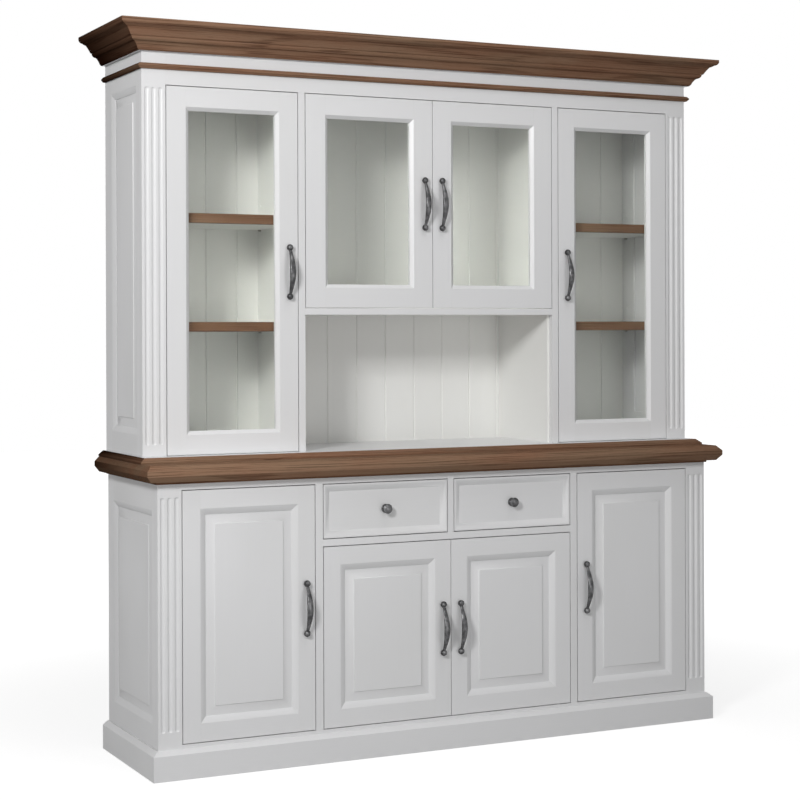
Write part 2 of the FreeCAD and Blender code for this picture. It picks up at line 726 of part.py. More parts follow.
def back_boards(inner, z0, z1):
    """Tongue-and-groove boards with a vee at each joint on the inside."""
    boards = []
    count = max(1, round(inner / BACK_BOARD_PITCH))
    front = INSIDE_BACK_Y
    back = BACK_Y
    third = BACK_THICKNESS / 3.0
    tongue_front = front + third
    tongue_back = back - third
    rise = Vector(0, 0, z1 - z0)
    for index in range(-count, count):
        first = index == -count
        last = index == count - 1
        x0 = -inner if first else index * BACK_BOARD_PITCH
        x1 = inner if last else (index + 1) * BACK_BOARD_PITCH
        plan = []
        if first:
            plan += [(x0, back), (x0, front)]
        else:
            plan += [(x0, back), (x0, tongue_back), (x0 + TONGUE_LENGTH, tongue_back)]
            plan += [(x0 + TONGUE_LENGTH, tongue_front), (x0, tongue_front)]
            plan += [(x0, front + BACK_VEE), (x0 + BACK_VEE, front)]
        if last:
            plan += [(x1, front), (x1, back)]
        else:
            plan += [(x1 - BACK_VEE, front), (x1, front + BACK_VEE), (x1, tongue_front)]
            plan += [(x1 + TONGUE_LENGTH, tongue_front), (x1 + TONGUE_LENGTH, tongue_back)]
            plan += [(x1, tongue_back), (x1, back)]
        boards.append(polygon_prism([Vector(x, y, z0) for x, y in plan], rise))
    return boards


# ---------------------------------------------------------------------------
# Base cabinet
# ---------------------------------------------------------------------------
def build_base():
    """Plinth, sides, face frame, boards, back and worktop of the base."""
    ledge_z = PLINTH_HEIGHT - PLINTH_BEVEL_HEIGHT
    steps = [
        (0.0, 0.0),
        (PLINTH_PROJECTION, 0.0),
        (PLINTH_PROJECTION, ledge_z),
        (PLINTH_LEDGE, PLINTH_HEIGHT),
        (0.0, PLINTH_HEIGHT),
    ]
    export("base_plinth", mitred_trim(steps, BASE_HALF, BASE_Y, BACK_Y))

    pieces, panel = side_assembly(BASE_HALF, BASE_INSIDE_Y, 0.0, BASE_HEIGHT,
                                  BASE_SIDE_FRONT_STILE, BASE_SIDE_REAR_STILE,
                                  BASE_SIDE_BOTTOM_RAIL, BASE_SIDE_TOP_RAIL)
    export("base_side_frames", both_sides(pieces))
    export("base_side_panels", both_sides([panel]))

    face = BASE_Y
    inside = BASE_INSIDE_Y
    margin = FLUTE_END_MARGIN_BASE
    pilaster = fluted_pilaster(BASE_HALF, BASE_PILASTER_EDGE, face, 0.0, BASE_HEIGHT,
                               BASE_BOTTOM_RAIL_TOP + margin, margin)
    stile = block(-BASE_STILE_OUT, -BASE_STILE_IN, face, inside,
                  BASE_BOTTOM_RAIL_TOP, BASE_RAIL_BOTTOM)
    half_stile = DRAWER_STILE_WIDTH / 2.0
    frame = both_sides([pilaster, stile])
    edge = BASE_PILASTER_EDGE
    frame.append(block(-edge, edge, face, inside, 0.0, BASE_BOTTOM_RAIL_TOP))
    frame.append(block(-edge, edge, face, inside, BASE_RAIL_BOTTOM, BASE_HEIGHT))
    frame.append(block(-BASE_STILE_IN, BASE_STILE_IN, face, inside,
                       MIDDLE_RAIL_BOTTOM, DRAWER_FLOOR))
    frame.append(block(-half_stile, half_stile, face, inside, DRAWER_FLOOR, BASE_RAIL_BOTTOM))
    export("base_face_frame", frame)

    floor_z = BASE_BOTTOM_RAIL_TOP - BOARD_THICKNESS
    floor = block(-BASE_INNER, BASE_INNER, inside, INSIDE_BACK_Y, floor_z, BASE_BOTTOM_RAIL_TOP)
    drawer_board = block(-PARTITION_IN, PARTITION_IN, inside, INSIDE_BACK_Y,
                         DRAWER_FLOOR - BOARD_THICKNESS, DRAWER_FLOOR)
    export("base_boards", [floor, drawer_board])

    partition = block(-PARTITION_OUT, -PARTITION_IN, inside, INSIDE_BACK_Y,
                      BASE_BOTTOM_RAIL_TOP, BASE_HEIGHT)
    divider = block(-half_stile, half_stile, inside, INSIDE_BACK_Y, DRAWER_FLOOR, BASE_HEIGHT)
    export("base_partitions", both_sides([partition]) + [divider])

    export("base_back", back_boards(BASE_INNER, floor_z, BASE_HEIGHT))

    top_half = BASE_HALF + WORKTOP_OVERHANG
    top_front = BASE_Y - WORKTOP_OVERHANG
    nose_low = UNDERLAY_TOP + WORKTOP_LOWER_BEVEL_HEIGHT
    nose_high = WORKTOP_TOP - WORKTOP_UPPER_BEVEL_HEIGHT
    top = stacked_rings([
        level_ring(top_half, top_front, BACK_Y, UNDERLAY_TOP, WORKTOP_BEVEL),
        level_ring(top_half, top_front, BACK_Y, nose_low, 0.0),
        level_ring(top_half, top_front, BACK_Y, nose_high, 0.0),
        level_ring(top_half, top_front, BACK_Y, WORKTOP_TOP, WORKTOP_BEVEL),
    ])
    under_half = BASE_HALF + UNDERLAY_PROJECTION
    underlay = block(-under_half, under_half, BASE_Y - UNDERLAY_PROJECTION, BACK_Y,
                     BASE_HEIGHT, UNDERLAY_TOP)
    export("worktop", [top, underlay])


# ---------------------------------------------------------------------------
# Hutch
# ---------------------------------------------------------------------------
def pin_places(front_y, z_levels):
    """Positions of the shelf pins: two rows, front and rear."""
    front = front_y + PIN_FRONT_INSET
    rear = INSIDE_BACK_Y - PIN_REAR_INSET
    return [(y, z) for z in z_levels for y in (front, rear)]


def build_hutch():
    """Board, sides, face frame, shelves, back and top of the hutch."""
    board_half = HUTCH_HALF + HUTCH_BOARD_SIDE_LEDGE
    board_front = HUTCH_Y - HUTCH_BOARD_FRONT_LEDGE
    board = block(-board_half, board_half, board_front, BACK_Y, WORKTOP_TOP, HUTCH_FLOOR)
    export("hutch_board", [board])
    steps = [
        (0.0, WORKTOP_TOP),
        (HUTCH_MOULDING_WIDTH, WORKTOP_TOP),
        (HUTCH_MOULDING_WIDTH, WORKTOP_TOP + HUTCH_MOULDING_NOSE),
        (HUTCH_MOULDING_LIP, HUTCH_FLOOR),
        (0.0, HUTCH_FLOOR),
    ]
    export("hutch_board_moulding", mitred_trim(steps, board_half, board_front, BACK_Y))

    face = HUTCH_Y
    inside = HUTCH_INSIDE_Y
    pieces, panel = side_assembly(HUTCH_HALF, inside, HUTCH_FLOOR, HUTCH_TOP,
                                  HUTCH_SIDE_FRONT_STILE, HUTCH_SIDE_REAR_STILE,
                                  HUTCH_SIDE_BOTTOM_RAIL, HUTCH_SIDE_TOP_RAIL)
    partition = block(-PARTITION_OUT, -PARTITION_IN, inside, INSIDE_BACK_Y,
                      HUTCH_FLOOR, HUTCH_TOP)
    shelf_levels = [HUTCH_FLOOR + SHELF_LOW_HEIGHT]
    shelf_levels.append(shelf_levels[0] + SHELF_SPACING)
    pin_radius = PIN_DIAMETER / 2.0
    pin_levels = [level - pin_radius for level in shelf_levels]
    spare_levels = [level + PIN_SPACING for level in pin_levels]
    pins = []
    for y, z in pin_places(inside, pin_levels + spare_levels):
        start = Vector(-HUTCH_INNER - PIN_DEPTH, y, z)
        hole = Part.makeCylinder(pin_radius, PIN_DEPTH, start, Vector(1, 0, 0))
        pieces = [piece.cut(hole) for piece in pieces]
        start = Vector(-PARTITION_OUT, y, z)
        hole = Part.makeCylinder(pin_radius, PIN_DEPTH, start, Vector(1, 0, 0))
        partition = partition.cut(hole)
    for y, z in pin_places(inside, pin_levels):
        for end in (-HUTCH_INNER - PIN_DEPTH, -PARTITION_OUT + PIN_DEPTH - PIN_LENGTH):
            start = Vector(end, y, z)
            pins.append(Part.makeCylinder(pin_radius, PIN_LENGTH, start, Vector(1, 0, 0)))
    export("hutch_side_frames", both_sides(pieces))
    export("hutch_side_panels", both_sides([panel]))
    export("hutch_partitions", both_sides([partition]))
    export("shelf_pins", both_sides(pins))

    shelves = []
    for level in shelf_levels:
        shelves.append(block(-HUTCH_INNER + SHELF_CLEARANCE, -PARTITION_OUT - SHELF_CLEARANCE,
                             inside + SHELF_SETBACK, INSIDE_BACK_Y - SHELF_CLEARANCE,
                             level, level + SHELF_THICKNESS))
    export("hutch_shelves", both_sides(shelves))

    pilaster = fluted_pilaster(HUTCH_HALF, HUTCH_PILASTER_EDGE, face, HUTCH_FLOOR, HUTCH_TOP,
                               FLUTE_END_MARGIN_HUTCH_LOW, FLUTE_END_MARGIN_HUTCH_TOP)
    stile = block(-HUTCH_STILE_OUT, -HUTCH_STILE_IN, face, inside, HUTCH_FLOOR, FRIEZE_BOTTOM)
    frame = both_sides([pilaster, stile])
    edge = HUTCH_PILASTER_EDGE
    frame.append(block(-edge, edge, face, inside, FRIEZE_BOTTOM, HUTCH_TOP))
    frame.append(block(-HUTCH_STILE_IN, HUTCH_STILE_IN, face, inside, NICHE_TOP, NICHE_RAIL_TOP))
    export("hutch_face_frame", frame)

    niche_top = block(-PARTITION_IN, PARTITION_IN, inside, INSIDE_BACK_Y,
                      NICHE_TOP, NICHE_TOP + BOARD_THICKNESS)
    export("hutch_niche_top", [niche_top])
    export("hutch_back", back_boards(HUTCH_INNER, HUTCH_FLOOR, HUTCH_TOP))

    top_half = HUTCH_HALF + TOP_BOARD_PROJECTION
    top = block(-top_half, top_half, HUTCH_Y - TOP_BOARD_PROJECTION, BACK_Y,
                HUTCH_TOP, HUTCH_TOP + TOP_BOARD_THICKNESS)
    export("hutch_top", [top])

    astragal_top = HUTCH_TOP - ASTRAGAL_DROP
    astragal_low = astragal_top - ASTRAGAL_HEIGHT
    taper = (ASTRAGAL_HEIGHT - ASTRAGAL_NOSE) / 2.0
    steps = [
        (0.0, astragal_low),
        (ASTRAGAL_FLAT, astragal_low),
        (ASTRAGAL_PROJECTION, astragal_low + taper),
        (ASTRAGAL_PROJECTION, astragal_top - taper),
        (ASTRAGAL_FLAT, astragal_top),
        (0.0, astragal_top),
    ]
    export("astragal", mitred_trim(steps, HUTCH_HALF, HUTCH_Y, BACK_Y))
    export("cornice", mitred_trim(cornice_profile(), HUTCH_HALF, HUTCH_Y, BACK_Y))


def cornice_profile():
    """Crown moulding: lower cove, bead, ovolo and a lipped fascia."""
    foot = CORNICE_FOOT
    reach = CORNICE_PROJECTION
    rise = CORNICE_HEIGHT
    low = CORNICE_BOTTOM

    def at(share_out, share_up):
        return (foot + (reach - foot) * share_out, low + rise * share_up)

    board_edge = TOP_BOARD_PROJECTION
    board_top = HUTCH_TOP + TOP_BOARD_THICKNESS
    inner = board_edge - CORNICE_SEAT
    top_inner = reach - CORNICE_TOP_WIDTH
    return [
        (board_edge, low),
        (foot, low),
        at(0.07, 0.02),
        (at(0.14, 0.15), at(0.24, 0.25)),
        at(0.3, 0.26),
        (at(0.4, 0.32), at(0.42, 0.41)),
        at(0.47, 0.42),
        (at(0.6, 0.56), at(0.68, 0.7)),
        at(0.74, 0.715),
        at(0.84, 0.77),
        (at(0.95, 0.83), (reach, low + rise * 0.93)),
        (reach, low + rise),
        (top_inner, low + rise),
        (inner, board_top + CORNICE_HEEL),
        (inner, board_top),
        (board_edge, board_top),
    ]


build_base()
build_hutch()
build_doors()
build_drawers()
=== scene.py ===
"""The looks of a dresser with hutch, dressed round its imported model.

White satin lacquer covers the carcass, doors, drawers and shelves.  The worktop, cornice, thin
mouldings and the lipping on the front of each shelf are brown-stained pine.  Handles and knobs
are aged pewter, and the doors of the hutch hold clear float glass.  Everything is in metres:
+Z up, +X to the right, the front at -Y.
"""
import logging
import math
import random
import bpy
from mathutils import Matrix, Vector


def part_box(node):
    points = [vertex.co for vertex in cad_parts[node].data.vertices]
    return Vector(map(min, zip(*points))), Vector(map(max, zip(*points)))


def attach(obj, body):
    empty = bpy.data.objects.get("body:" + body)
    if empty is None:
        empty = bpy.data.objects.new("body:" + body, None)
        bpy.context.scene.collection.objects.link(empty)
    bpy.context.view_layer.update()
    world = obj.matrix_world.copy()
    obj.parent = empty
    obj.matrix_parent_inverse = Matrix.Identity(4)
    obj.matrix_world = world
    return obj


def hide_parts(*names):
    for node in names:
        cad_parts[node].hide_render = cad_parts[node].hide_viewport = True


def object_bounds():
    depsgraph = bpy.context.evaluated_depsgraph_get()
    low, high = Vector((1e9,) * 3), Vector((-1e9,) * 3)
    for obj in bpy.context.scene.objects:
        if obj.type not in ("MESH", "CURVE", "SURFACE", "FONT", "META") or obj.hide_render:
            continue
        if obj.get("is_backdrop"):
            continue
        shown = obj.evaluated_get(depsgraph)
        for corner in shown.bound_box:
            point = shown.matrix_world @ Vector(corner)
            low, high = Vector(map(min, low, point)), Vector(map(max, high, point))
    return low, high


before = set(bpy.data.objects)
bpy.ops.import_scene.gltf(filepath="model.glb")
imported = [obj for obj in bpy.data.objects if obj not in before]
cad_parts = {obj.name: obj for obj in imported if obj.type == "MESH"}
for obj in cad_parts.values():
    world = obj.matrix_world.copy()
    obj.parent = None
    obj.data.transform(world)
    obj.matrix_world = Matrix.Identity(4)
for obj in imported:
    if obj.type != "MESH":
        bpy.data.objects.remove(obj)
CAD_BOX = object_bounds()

import zlib
from dataclasses import dataclass
from enum import Enum
from typing import Iterator, Protocol, Sequence

import bmesh
import bpy
from mathutils import Matrix, Vector

LOG = logging.getLogger("dresser")
MM = 0.001
WELD = 1e-6
CARCASS = "carcass"

Colour = tuple[float, float, float, float]
Point = tuple[float, float]
Inputs = Sequence[object] | dict[object, object]

# Kinds of node that come again and again, with their usual settings
MATHS = "ShaderNodeMath"
RANGE = "ShaderNodeMapRange"
MIX = "ShaderNodeMix"
BUMP = "ShaderNodeBump"
PRINCIPLED = "ShaderNodeBsdfPrincipled"
ATTRIBUTE = "ShaderNodeAttribute"
SOFT = {"interpolation_type": "SMOOTHSTEP"}
COLOURS = {"data_type": "RGBA"}

# Inputs of a Mix node between colours: how much of the upper one shows, and the two colours
SHARE, BELOW, ABOVE = 0, 6, 7


class Slot(Enum):
    """Material slots of the record."""

    WHITE = "white_lacquer"
    BROWN = "brown_wood"
    DRAWER = "drawer_wood"
    GLASS = "clear_glass"
    PEWTER = "pewter"
    STEEL = "plated_steel"


class Hand(Enum):
    """Which side of the middle plane a door or drawer is on."""

    LEFT = "left"
    MID_LEFT = "mid_left"
    MID_RIGHT = "mid_right"
    RIGHT = "right"


# ---------------------------------------------------------------------------
# Shader helpers
# ---------------------------------------------------------------------------
def linear(code: str) -> Colour:
    """Turn an sRGB hex colour into the linear values a shader wants.

    Args:
        code: The colour as "#RRGGBB".

    Returns:
        Linear red, green, blue and an alpha of one.
    """
    channels = []
    for start in (1, 3, 5):
        value = int(code[start:start + 2], 16) / 255.0
        low = value / 12.92
        high = ((value + 0.055) / 1.055) ** 2.4
        channels.append(low if value <= 0.04045 else high)
    return (channels[0], channels[1], channels[2], 1.0)


def add(tree: bpy.types.NodeTree, kind: str, inputs: Inputs = (),
        **settings: object) -> bpy.types.Node:
    """Add one node with its settings, values and links.

    Args:
        tree: The node tree to add to.
        kind: Blender's type name of the node.
        inputs: Values for the inputs in order, or input name or number to value.  A value is a
            constant, a socket, a node whose first live output is used, or a list of nodes.
        **settings: Properties of the node.

    Returns:
        The new node.
    """
    node = tree.nodes.new(kind)
    for name, value in settings.items():
        setattr(node, name, value)
    pairs = inputs.items() if isinstance(inputs, dict) else enumerate(inputs)
    for key, value in pairs:
        for source in value if isinstance(value, list) else [value]:
            if isinstance(source, bpy.types.Node):
                source = next(output for output in source.outputs if output.enabled)
            if isinstance(source, bpy.types.NodeSocket):
                tree.links.new(source, node.inputs[key])
            else:
                node.inputs[key].default_value = source
    return node


@dataclass(frozen=True)
class Blobs:
    """Noise whose blobs have a real length and width.

    Attributes:
        length_mm: Length of a blob along the board.
        width_mm: Width of a blob across it.
        detail: Octaves of finer noise.
        roughness: How strong those octaves are.
    """

    length_mm: float
    width_mm: float
    detail: float = 2.0
    roughness: float = 0.5

    def lay(self, tree: bpy.types.NodeTree, vector: bpy.types.NodeSocket) -> bpy.types.Node:
        """Add the noise.

        Args:
            tree: The node tree to add to.
            vector: Coordinates in metres, along the board first.

        Returns:
            The noise node.
        """
        across = 1.0 / (self.width_mm * MM)
        scale = (1.0 / (self.length_mm * MM), across, across)
        scaled = add(tree, "ShaderNodeMapping", {"Vector": vector, "Scale": scale})
        return add(tree, "ShaderNodeTexNoise",
                   {"Vector": scaled, "Scale": 1.0, "Detail": self.detail,
                    "Roughness": self.roughness})


def begin(name: str) -> tuple[bpy.types.Material, bpy.types.NodeTree]:
    """Start a material with an empty tree.

    Args:
        name: What the real material is.

    Returns:
        The material and its tree.
    """
    material = bpy.data.materials.new(name)
    material.use_nodes = True
    material.node_tree.nodes.clear()
    return material, material.node_tree


# ---------------------------------------------------------------------------
# Finishes
#
# A range is the stretch of a pattern's values that is spread out from 0 to 1, and a share is
# how much of the pattern then shows.  Lengths that end in _mm are in millimetres.
# ---------------------------------------------------------------------------
class Finish(Protocol):
    """Anything that can make a material for one of the record's slots."""

    @property
    def slot(self) -> Slot:
        """The slot that it dresses."""

    def build(self) -> bpy.types.Material:
        """Make the material."""


_MADE: dict[Finish, bpy.types.Material] = {}


def material_of(finish: Finish) -> bpy.types.Material:
    """Give a finish's material, made the first time it is asked for.

    Args:
        finish: The finish.

    Returns:
        Its material.
    """
    if finish not in _MADE:
        _MADE[finish] = finish.build()
    return _MADE[finish]


@dataclass(frozen=True)
class SatinLacquer:
    """Two-pack satin lacquer, sprayed over sanded primer on planed boards.

    It reads as a smooth soft white.  The grain below shows through as very shallow streaks along
    each board, with a little painted shade in their hollows, the sprayed film has a fine orange
    peel, and boards differ a little in tone.
    """

    name: str = "satin_lacquer"
    slot: Slot = Slot.WHITE
    base: str = "#EBEBEC"
    warm: str = "#E8E8E8"
    streak_shade: str = "#B9B4AC"
    polished: float = 0.3
    dull: float = 0.4
    ior: float = 1.48
    streaks: Blobs = Blobs(170.0, 2.2, 3.0)
    peel: Blobs = Blobs(1.6, 1.6, 1.0)
    clouds: Blobs = Blobs(480.0, 240.0)
    board_contrast: float = 0.15
    cloud_contrast: float = 0.7
    tone_range: Point = (0.3, 0.8)
    streak_range: Point = (0.35, 0.62)
    streak_share: float = 0.012
    gloss_range: Point = (0.3, 0.7)
    peel_relief: float = 0.35
    streak_relief: float = 0.4
    relief_mm: float = 0.02
    relief_strength: float = 0.6

    def build(self) -> bpy.types.Material:
        """Make the lacquer.

        Returns:
            The material.
        """
        material, tree = begin(self.name)
        grain = add(tree, ATTRIBUTE, attribute_name="grain").outputs["Vector"]
        board = add(tree, ATTRIBUTE, attribute_name="board").outputs["Fac"]
        streaks = self.streaks.lay(tree, grain)
        peel = self.peel.lay(tree, grain)
        clouds = self.clouds.lay(tree, grain)

        # colour: each board's own tone, soft clouds and faint streaks darkened as painted shade
        # in their hollows
        own = add(tree, MATHS, (board, self.board_contrast), operation="MULTIPLY")
        tone = add(tree, MATHS, (clouds, self.cloud_contrast, own), operation="MULTIPLY_ADD")
        tone = add(tree, RANGE, (tone, *self.tone_range), **SOFT)
        colour = add(tree, MIX, {SHARE: tone, BELOW: linear(self.base), ABOVE: linear(self.warm)},
                     **COLOURS)
        streak_shade_share = add(tree, RANGE, (streaks, *self.streak_range, 0.0, self.streak_share), **SOFT)
        colour = add(tree, MIX, {SHARE: streak_shade_share, BELOW: colour, ABOVE: linear(self.streak_shade)},
                     blend_type="MULTIPLY", **COLOURS)
        gloss = add(tree, RANGE, (clouds, *self.gloss_range, self.polished, self.dull), **SOFT)

        # relief: orange peel over the streaks
        below = add(tree, MATHS, (streaks, self.streak_relief), operation="MULTIPLY")
        relief = add(tree, MATHS, (peel, self.peel_relief, below), operation="MULTIPLY_ADD")
        bump = add(tree, BUMP, {"Height": relief, "Distance": self.relief_mm * MM,
                                "Strength": self.relief_strength})
        shader = add(tree, PRINCIPLED, {"Base Color": colour, "Roughness": gloss,
                                        "IOR": self.ior, "Normal": bump})
        add(tree, "ShaderNodeOutputMaterial", {"Surface": shader})
        return material


@dataclass(frozen=True)
class StainedPine:
    """Knotty pine, planed, brushed and stained brown, then matt oiled.

    The soft early wood takes more stain and stays dull, the hard rings stand out as long darker
    lines.  The hue wanders between olive and red brown along a board, and there is a knot here
    and there that the rings bend round.  End grain takes the stain deeper, and the same dark
    colour is painted shade on the short returns, towards the back and towards the right-hand end.
    """

    name: str = "stained_pine"
    slot: Slot = Slot.BROWN
    early: str = "#AC8A71"
    middle: str = "#96735A"
    late: str = "#5B4235"
    olive: str = "#88735E"
    red: str = "#8A5E48"
    knot: str = "#33211A"
    deep_stain_and_shade: str = "#29160D"
    stain_share: float = 0.42
    board_share: float = 0.16
    board_hue: float = 0.35
    bend_share: float = 0.35
    deep_stain_and_shade_share: float = 0.9
    hue: Blobs = Blobs(330.0, 60.0)
    hue_range: Point = (0.4, 0.85)
    deep_range: Point = (0.62, 1.1)
    pores: Blobs = Blobs(28.0, 0.8)
    pore_range: Point = (0.57, 0.7)
    pore_share: float = 0.4
    dull: float = 0.56
    polished: float = 0.44
    ior: float = 1.46
    ring_mm: float = 6.5
    ring_range: Point = (-0.6, 1.0)
    ring_share: float = 0.45
    streaks: Blobs = Blobs(260.0, 3.0, 4.0, 0.6)
    streak_range: Point = (0.32, 0.68)
    streak_share: float = 0.75
    wander: Blobs = Blobs(700.0, 160.0)
    wander_shift: float = 45.0 * MM
    knots_per_metre: tuple[float, float, float] = (5.0, 9.0, 0.0)
    knot_share: float = 0.12
    knot_range: Point = (0.3, 0.05)
    core_range: Point = (0.085, 0.045)
    knot_shift: float = 12.0 * MM
    ring_relief: float = 0.6
    pore_relief: float = -0.5
    relief_mm: float = 0.12
    relief_strength: float = 0.8

    def build(self) -> bpy.types.Material:
        """Make the stained pine.

        Returns:
            The material.
        """
        material, tree = begin(self.name)
        grain = add(tree, ATTRIBUTE, attribute_name="grain").outputs["Vector"]
        bend, core = self.knots(tree, grain)
        rings = self.rings(tree, grain, bend)
        pores = self.pores.lay(tree, grain)
        colour = self.colour(tree, grain, rings, pores)
        bent = add(tree, MATHS, (bend, self.bend_share), operation="MULTIPLY")
        # darker on end grain, where it is stain, and painted shade on the returns, towards the
        # back and towards the right-hand end
        thirst = add(tree, ATTRIBUTE, attribute_name="thirst").outputs["Fac"]
        deep_stain_and_shade = add(tree, MATHS, (thirst, self.deep_stain_and_shade_share), operation="MULTIPLY")
        for share, stain in ((bent, self.late), (core, self.knot), (deep_stain_and_shade, self.deep_stain_and_shade)):
            colour = add(tree, MIX, {SHARE: share, BELOW: colour, ABOVE: linear(stain)},
                         **COLOURS)

        # relief: hard rings stand proud and pores lie below
        gloss = add(tree, RANGE, (rings, 0.0, 1.0, self.dull, self.polished), **SOFT)
        sunk = add(tree, MATHS, (pores, self.pore_relief), operation="MULTIPLY")
        relief = add(tree, MATHS, (rings, self.ring_relief, sunk), operation="MULTIPLY_ADD")
        bump = add(tree, BUMP, {"Height": relief, "Distance": self.relief_mm * MM,
                                "Strength": self.relief_strength})
        shader = add(tree, PRINCIPLED, {"Base Color": colour, "Roughness": gloss,
                                        "IOR": self.ior, "Specular IOR Level": 0.0,
                                        "Normal": bump})
        add(tree, "ShaderNodeOutputMaterial", {"Surface": shader})
        return material

    def knots(self, tree: bpy.types.NodeTree,
              grain: bpy.types.NodeSocket) -> tuple[bpy.types.Node, bpy.types.Node]:
        """Scatter a few knots, one cell of the pattern being 200 mm by 110 mm.

        Args:
            tree: The node tree to add to.
            grain: Place on the board.

        Returns:
            How near a place is to a knot, and where the knot's dark core is.
        """
        cells = add(tree, "ShaderNodeMapping", {"Vector": grain, "Scale": self.knots_per_metre})
        spots = add(tree, "ShaderNodeTexVoronoi", {"Vector": cells, "Scale": 1.0})
        chosen = add(tree, "ShaderNodeSeparateColor", {"Color": spots.outputs["Color"]})
        has_knot = add(tree, MATHS, (chosen, self.knot_share), operation="LESS_THAN")
        away = spots.outputs["Distance"]
        near = add(tree, RANGE, (away, *self.knot_range), **SOFT)
        core = add(tree, RANGE, (away, *self.core_range), **SOFT)
        return (add(tree, MATHS, (near, has_knot), operation="MULTIPLY"),
                add(tree, MATHS, (core, has_knot), operation="MULTIPLY"))

    def rings(self, tree: bpy.types.NodeTree, grain: bpy.types.NodeSocket,
              bend: bpy.types.Node) -> bpy.types.Node:
        """Lay growth rings round the heart of the log, which wanders along the board.

        Args:
            tree: The node tree to add to.
            grain: Place on the board.
            bend: How near a place is to a knot.

        Returns:
            Hardness of the wood, from early wood at 0 to late wood at 1.
        """
        wander = self.wander.lay(tree, grain)
        aside = add(tree, MATHS, (bend, self.knot_shift), operation="MULTIPLY")
        shift = add(tree, MATHS, (wander, self.wander_shift, aside), operation="MULTIPLY_ADD")
        split = add(tree, "ShaderNodeSeparateXYZ", (grain,))
        across = add(tree, MATHS, (split.outputs["Y"], shift), operation="ADD")
        radial = add(tree, "ShaderNodeCombineXYZ", {"Y": across, "Z": split.outputs["Z"]})
        radius = add(tree, "ShaderNodeVectorMath", (radial,), operation="LENGTH")
        turns = 2.0 * math.pi / (self.ring_mm * MM)
        phase = add(tree, MATHS, (radius, turns), operation="MULTIPLY")
        wave = add(tree, MATHS, (phase,), operation="SINE")
        wave = add(tree, RANGE, (wave, *self.ring_range), **SOFT)
        fine = add(tree, RANGE, (self.streaks.lay(tree, grain), *self.streak_range, 0.0,
                                 self.streak_share), **SOFT)
        return add(tree, MATHS, (wave, self.ring_share, fine), operation="MULTIPLY_ADD")

    def colour(self, tree: bpy.types.NodeTree, grain: bpy.types.NodeSocket,
               rings: bpy.types.Node, pores: bpy.types.Node) -> bpy.types.Node:
        """Mix the stained wood from early, middle and late wood, its hue, pores and board.

        Args:
            tree: The node tree to add to.
            grain: Place on the board.
            rings: Hardness of the wood.
            pores: Noise of the pores.

        Returns:
            The colour.
        """
        board = add(tree, ATTRIBUTE, attribute_name="board").outputs["Fac"]
        drift = self.hue.lay(tree, grain)
        hue = add(tree, MATHS, (board, self.board_hue, drift), operation="MULTIPLY_ADD")
        hue = add(tree, RANGE, (hue, *self.hue_range), **SOFT)
        stain = add(tree, MIX, {SHARE: hue, BELOW: linear(self.olive), ABOVE: linear(self.red)},
                    **COLOURS)
        wood = add(tree, MIX, {SHARE: rings, BELOW: linear(self.early),
                               ABOVE: linear(self.middle)}, **COLOURS)
        deep = add(tree, RANGE, (rings, *self.deep_range), **SOFT)
        dark = add(tree, RANGE, (pores, *self.pore_range, 0.0, self.pore_share), **SOFT)
        tone = add(tree, RANGE, (board, 0.0, 1.0, 0.0, self.board_share), **SOFT)
        late = linear(self.late)
        for share, layer in ((deep, late), (self.stain_share, stain), (dark, late), (tone, late)):
            wood = add(tree, MIX, {SHARE: share, BELOW: wood, ABOVE: layer}, **COLOURS)
        return wood


@dataclass(frozen=True)
class VarnishedBirch:
    """Birch boards with a clear matt varnish, as drawer boxes have.

    Pale and even, with fine straight grain and a slight yellow from the varnish.
    """

    name: str = "varnished_birch"
    slot: Slot = Slot.DRAWER
    light: str = "#DCC7A1"
    dark: str = "#C4A87E"
    roughness: float = 0.48
    streaks: Blobs = Blobs(220.0, 2.0, 4.0, 0.6)
    streak_contrast: float = 0.6
    bands: Blobs = Blobs(500.0, 30.0)
    band_contrast: float = 0.5
    tone_range: Point = (0.38, 0.75)
    relief_mm: float = 0.04
    relief_strength: float = 0.8

    def build(self) -> bpy.types.Material:
        """Make the varnished birch.

        Returns:
            The material.
        """
        material, tree = begin(self.name)
        grain = add(tree, ATTRIBUTE, attribute_name="grain").outputs["Vector"]
        streaks = self.streaks.lay(tree, grain)
        bands = add(tree, MATHS, (self.bands.lay(tree, grain), self.band_contrast),
                    operation="MULTIPLY")
        tone = add(tree, MATHS, (streaks, self.streak_contrast, bands),
                   operation="MULTIPLY_ADD")
        tone = add(tree, RANGE, (tone, *self.tone_range), **SOFT)
        colour = add(tree, MIX, {SHARE: tone, BELOW: linear(self.light),
                                 ABOVE: linear(self.dark)}, **COLOURS)
        bump = add(tree, BUMP, {"Height": streaks, "Distance": self.relief_mm * MM,
                                "Strength": self.relief_strength})
        shader = add(tree, PRINCIPLED, {"Base Color": colour, "Roughness": self.roughness,
                                        "Normal": bump})
        add(tree, "ShaderNodeOutputMaterial", {"Surface": shader})
        return material


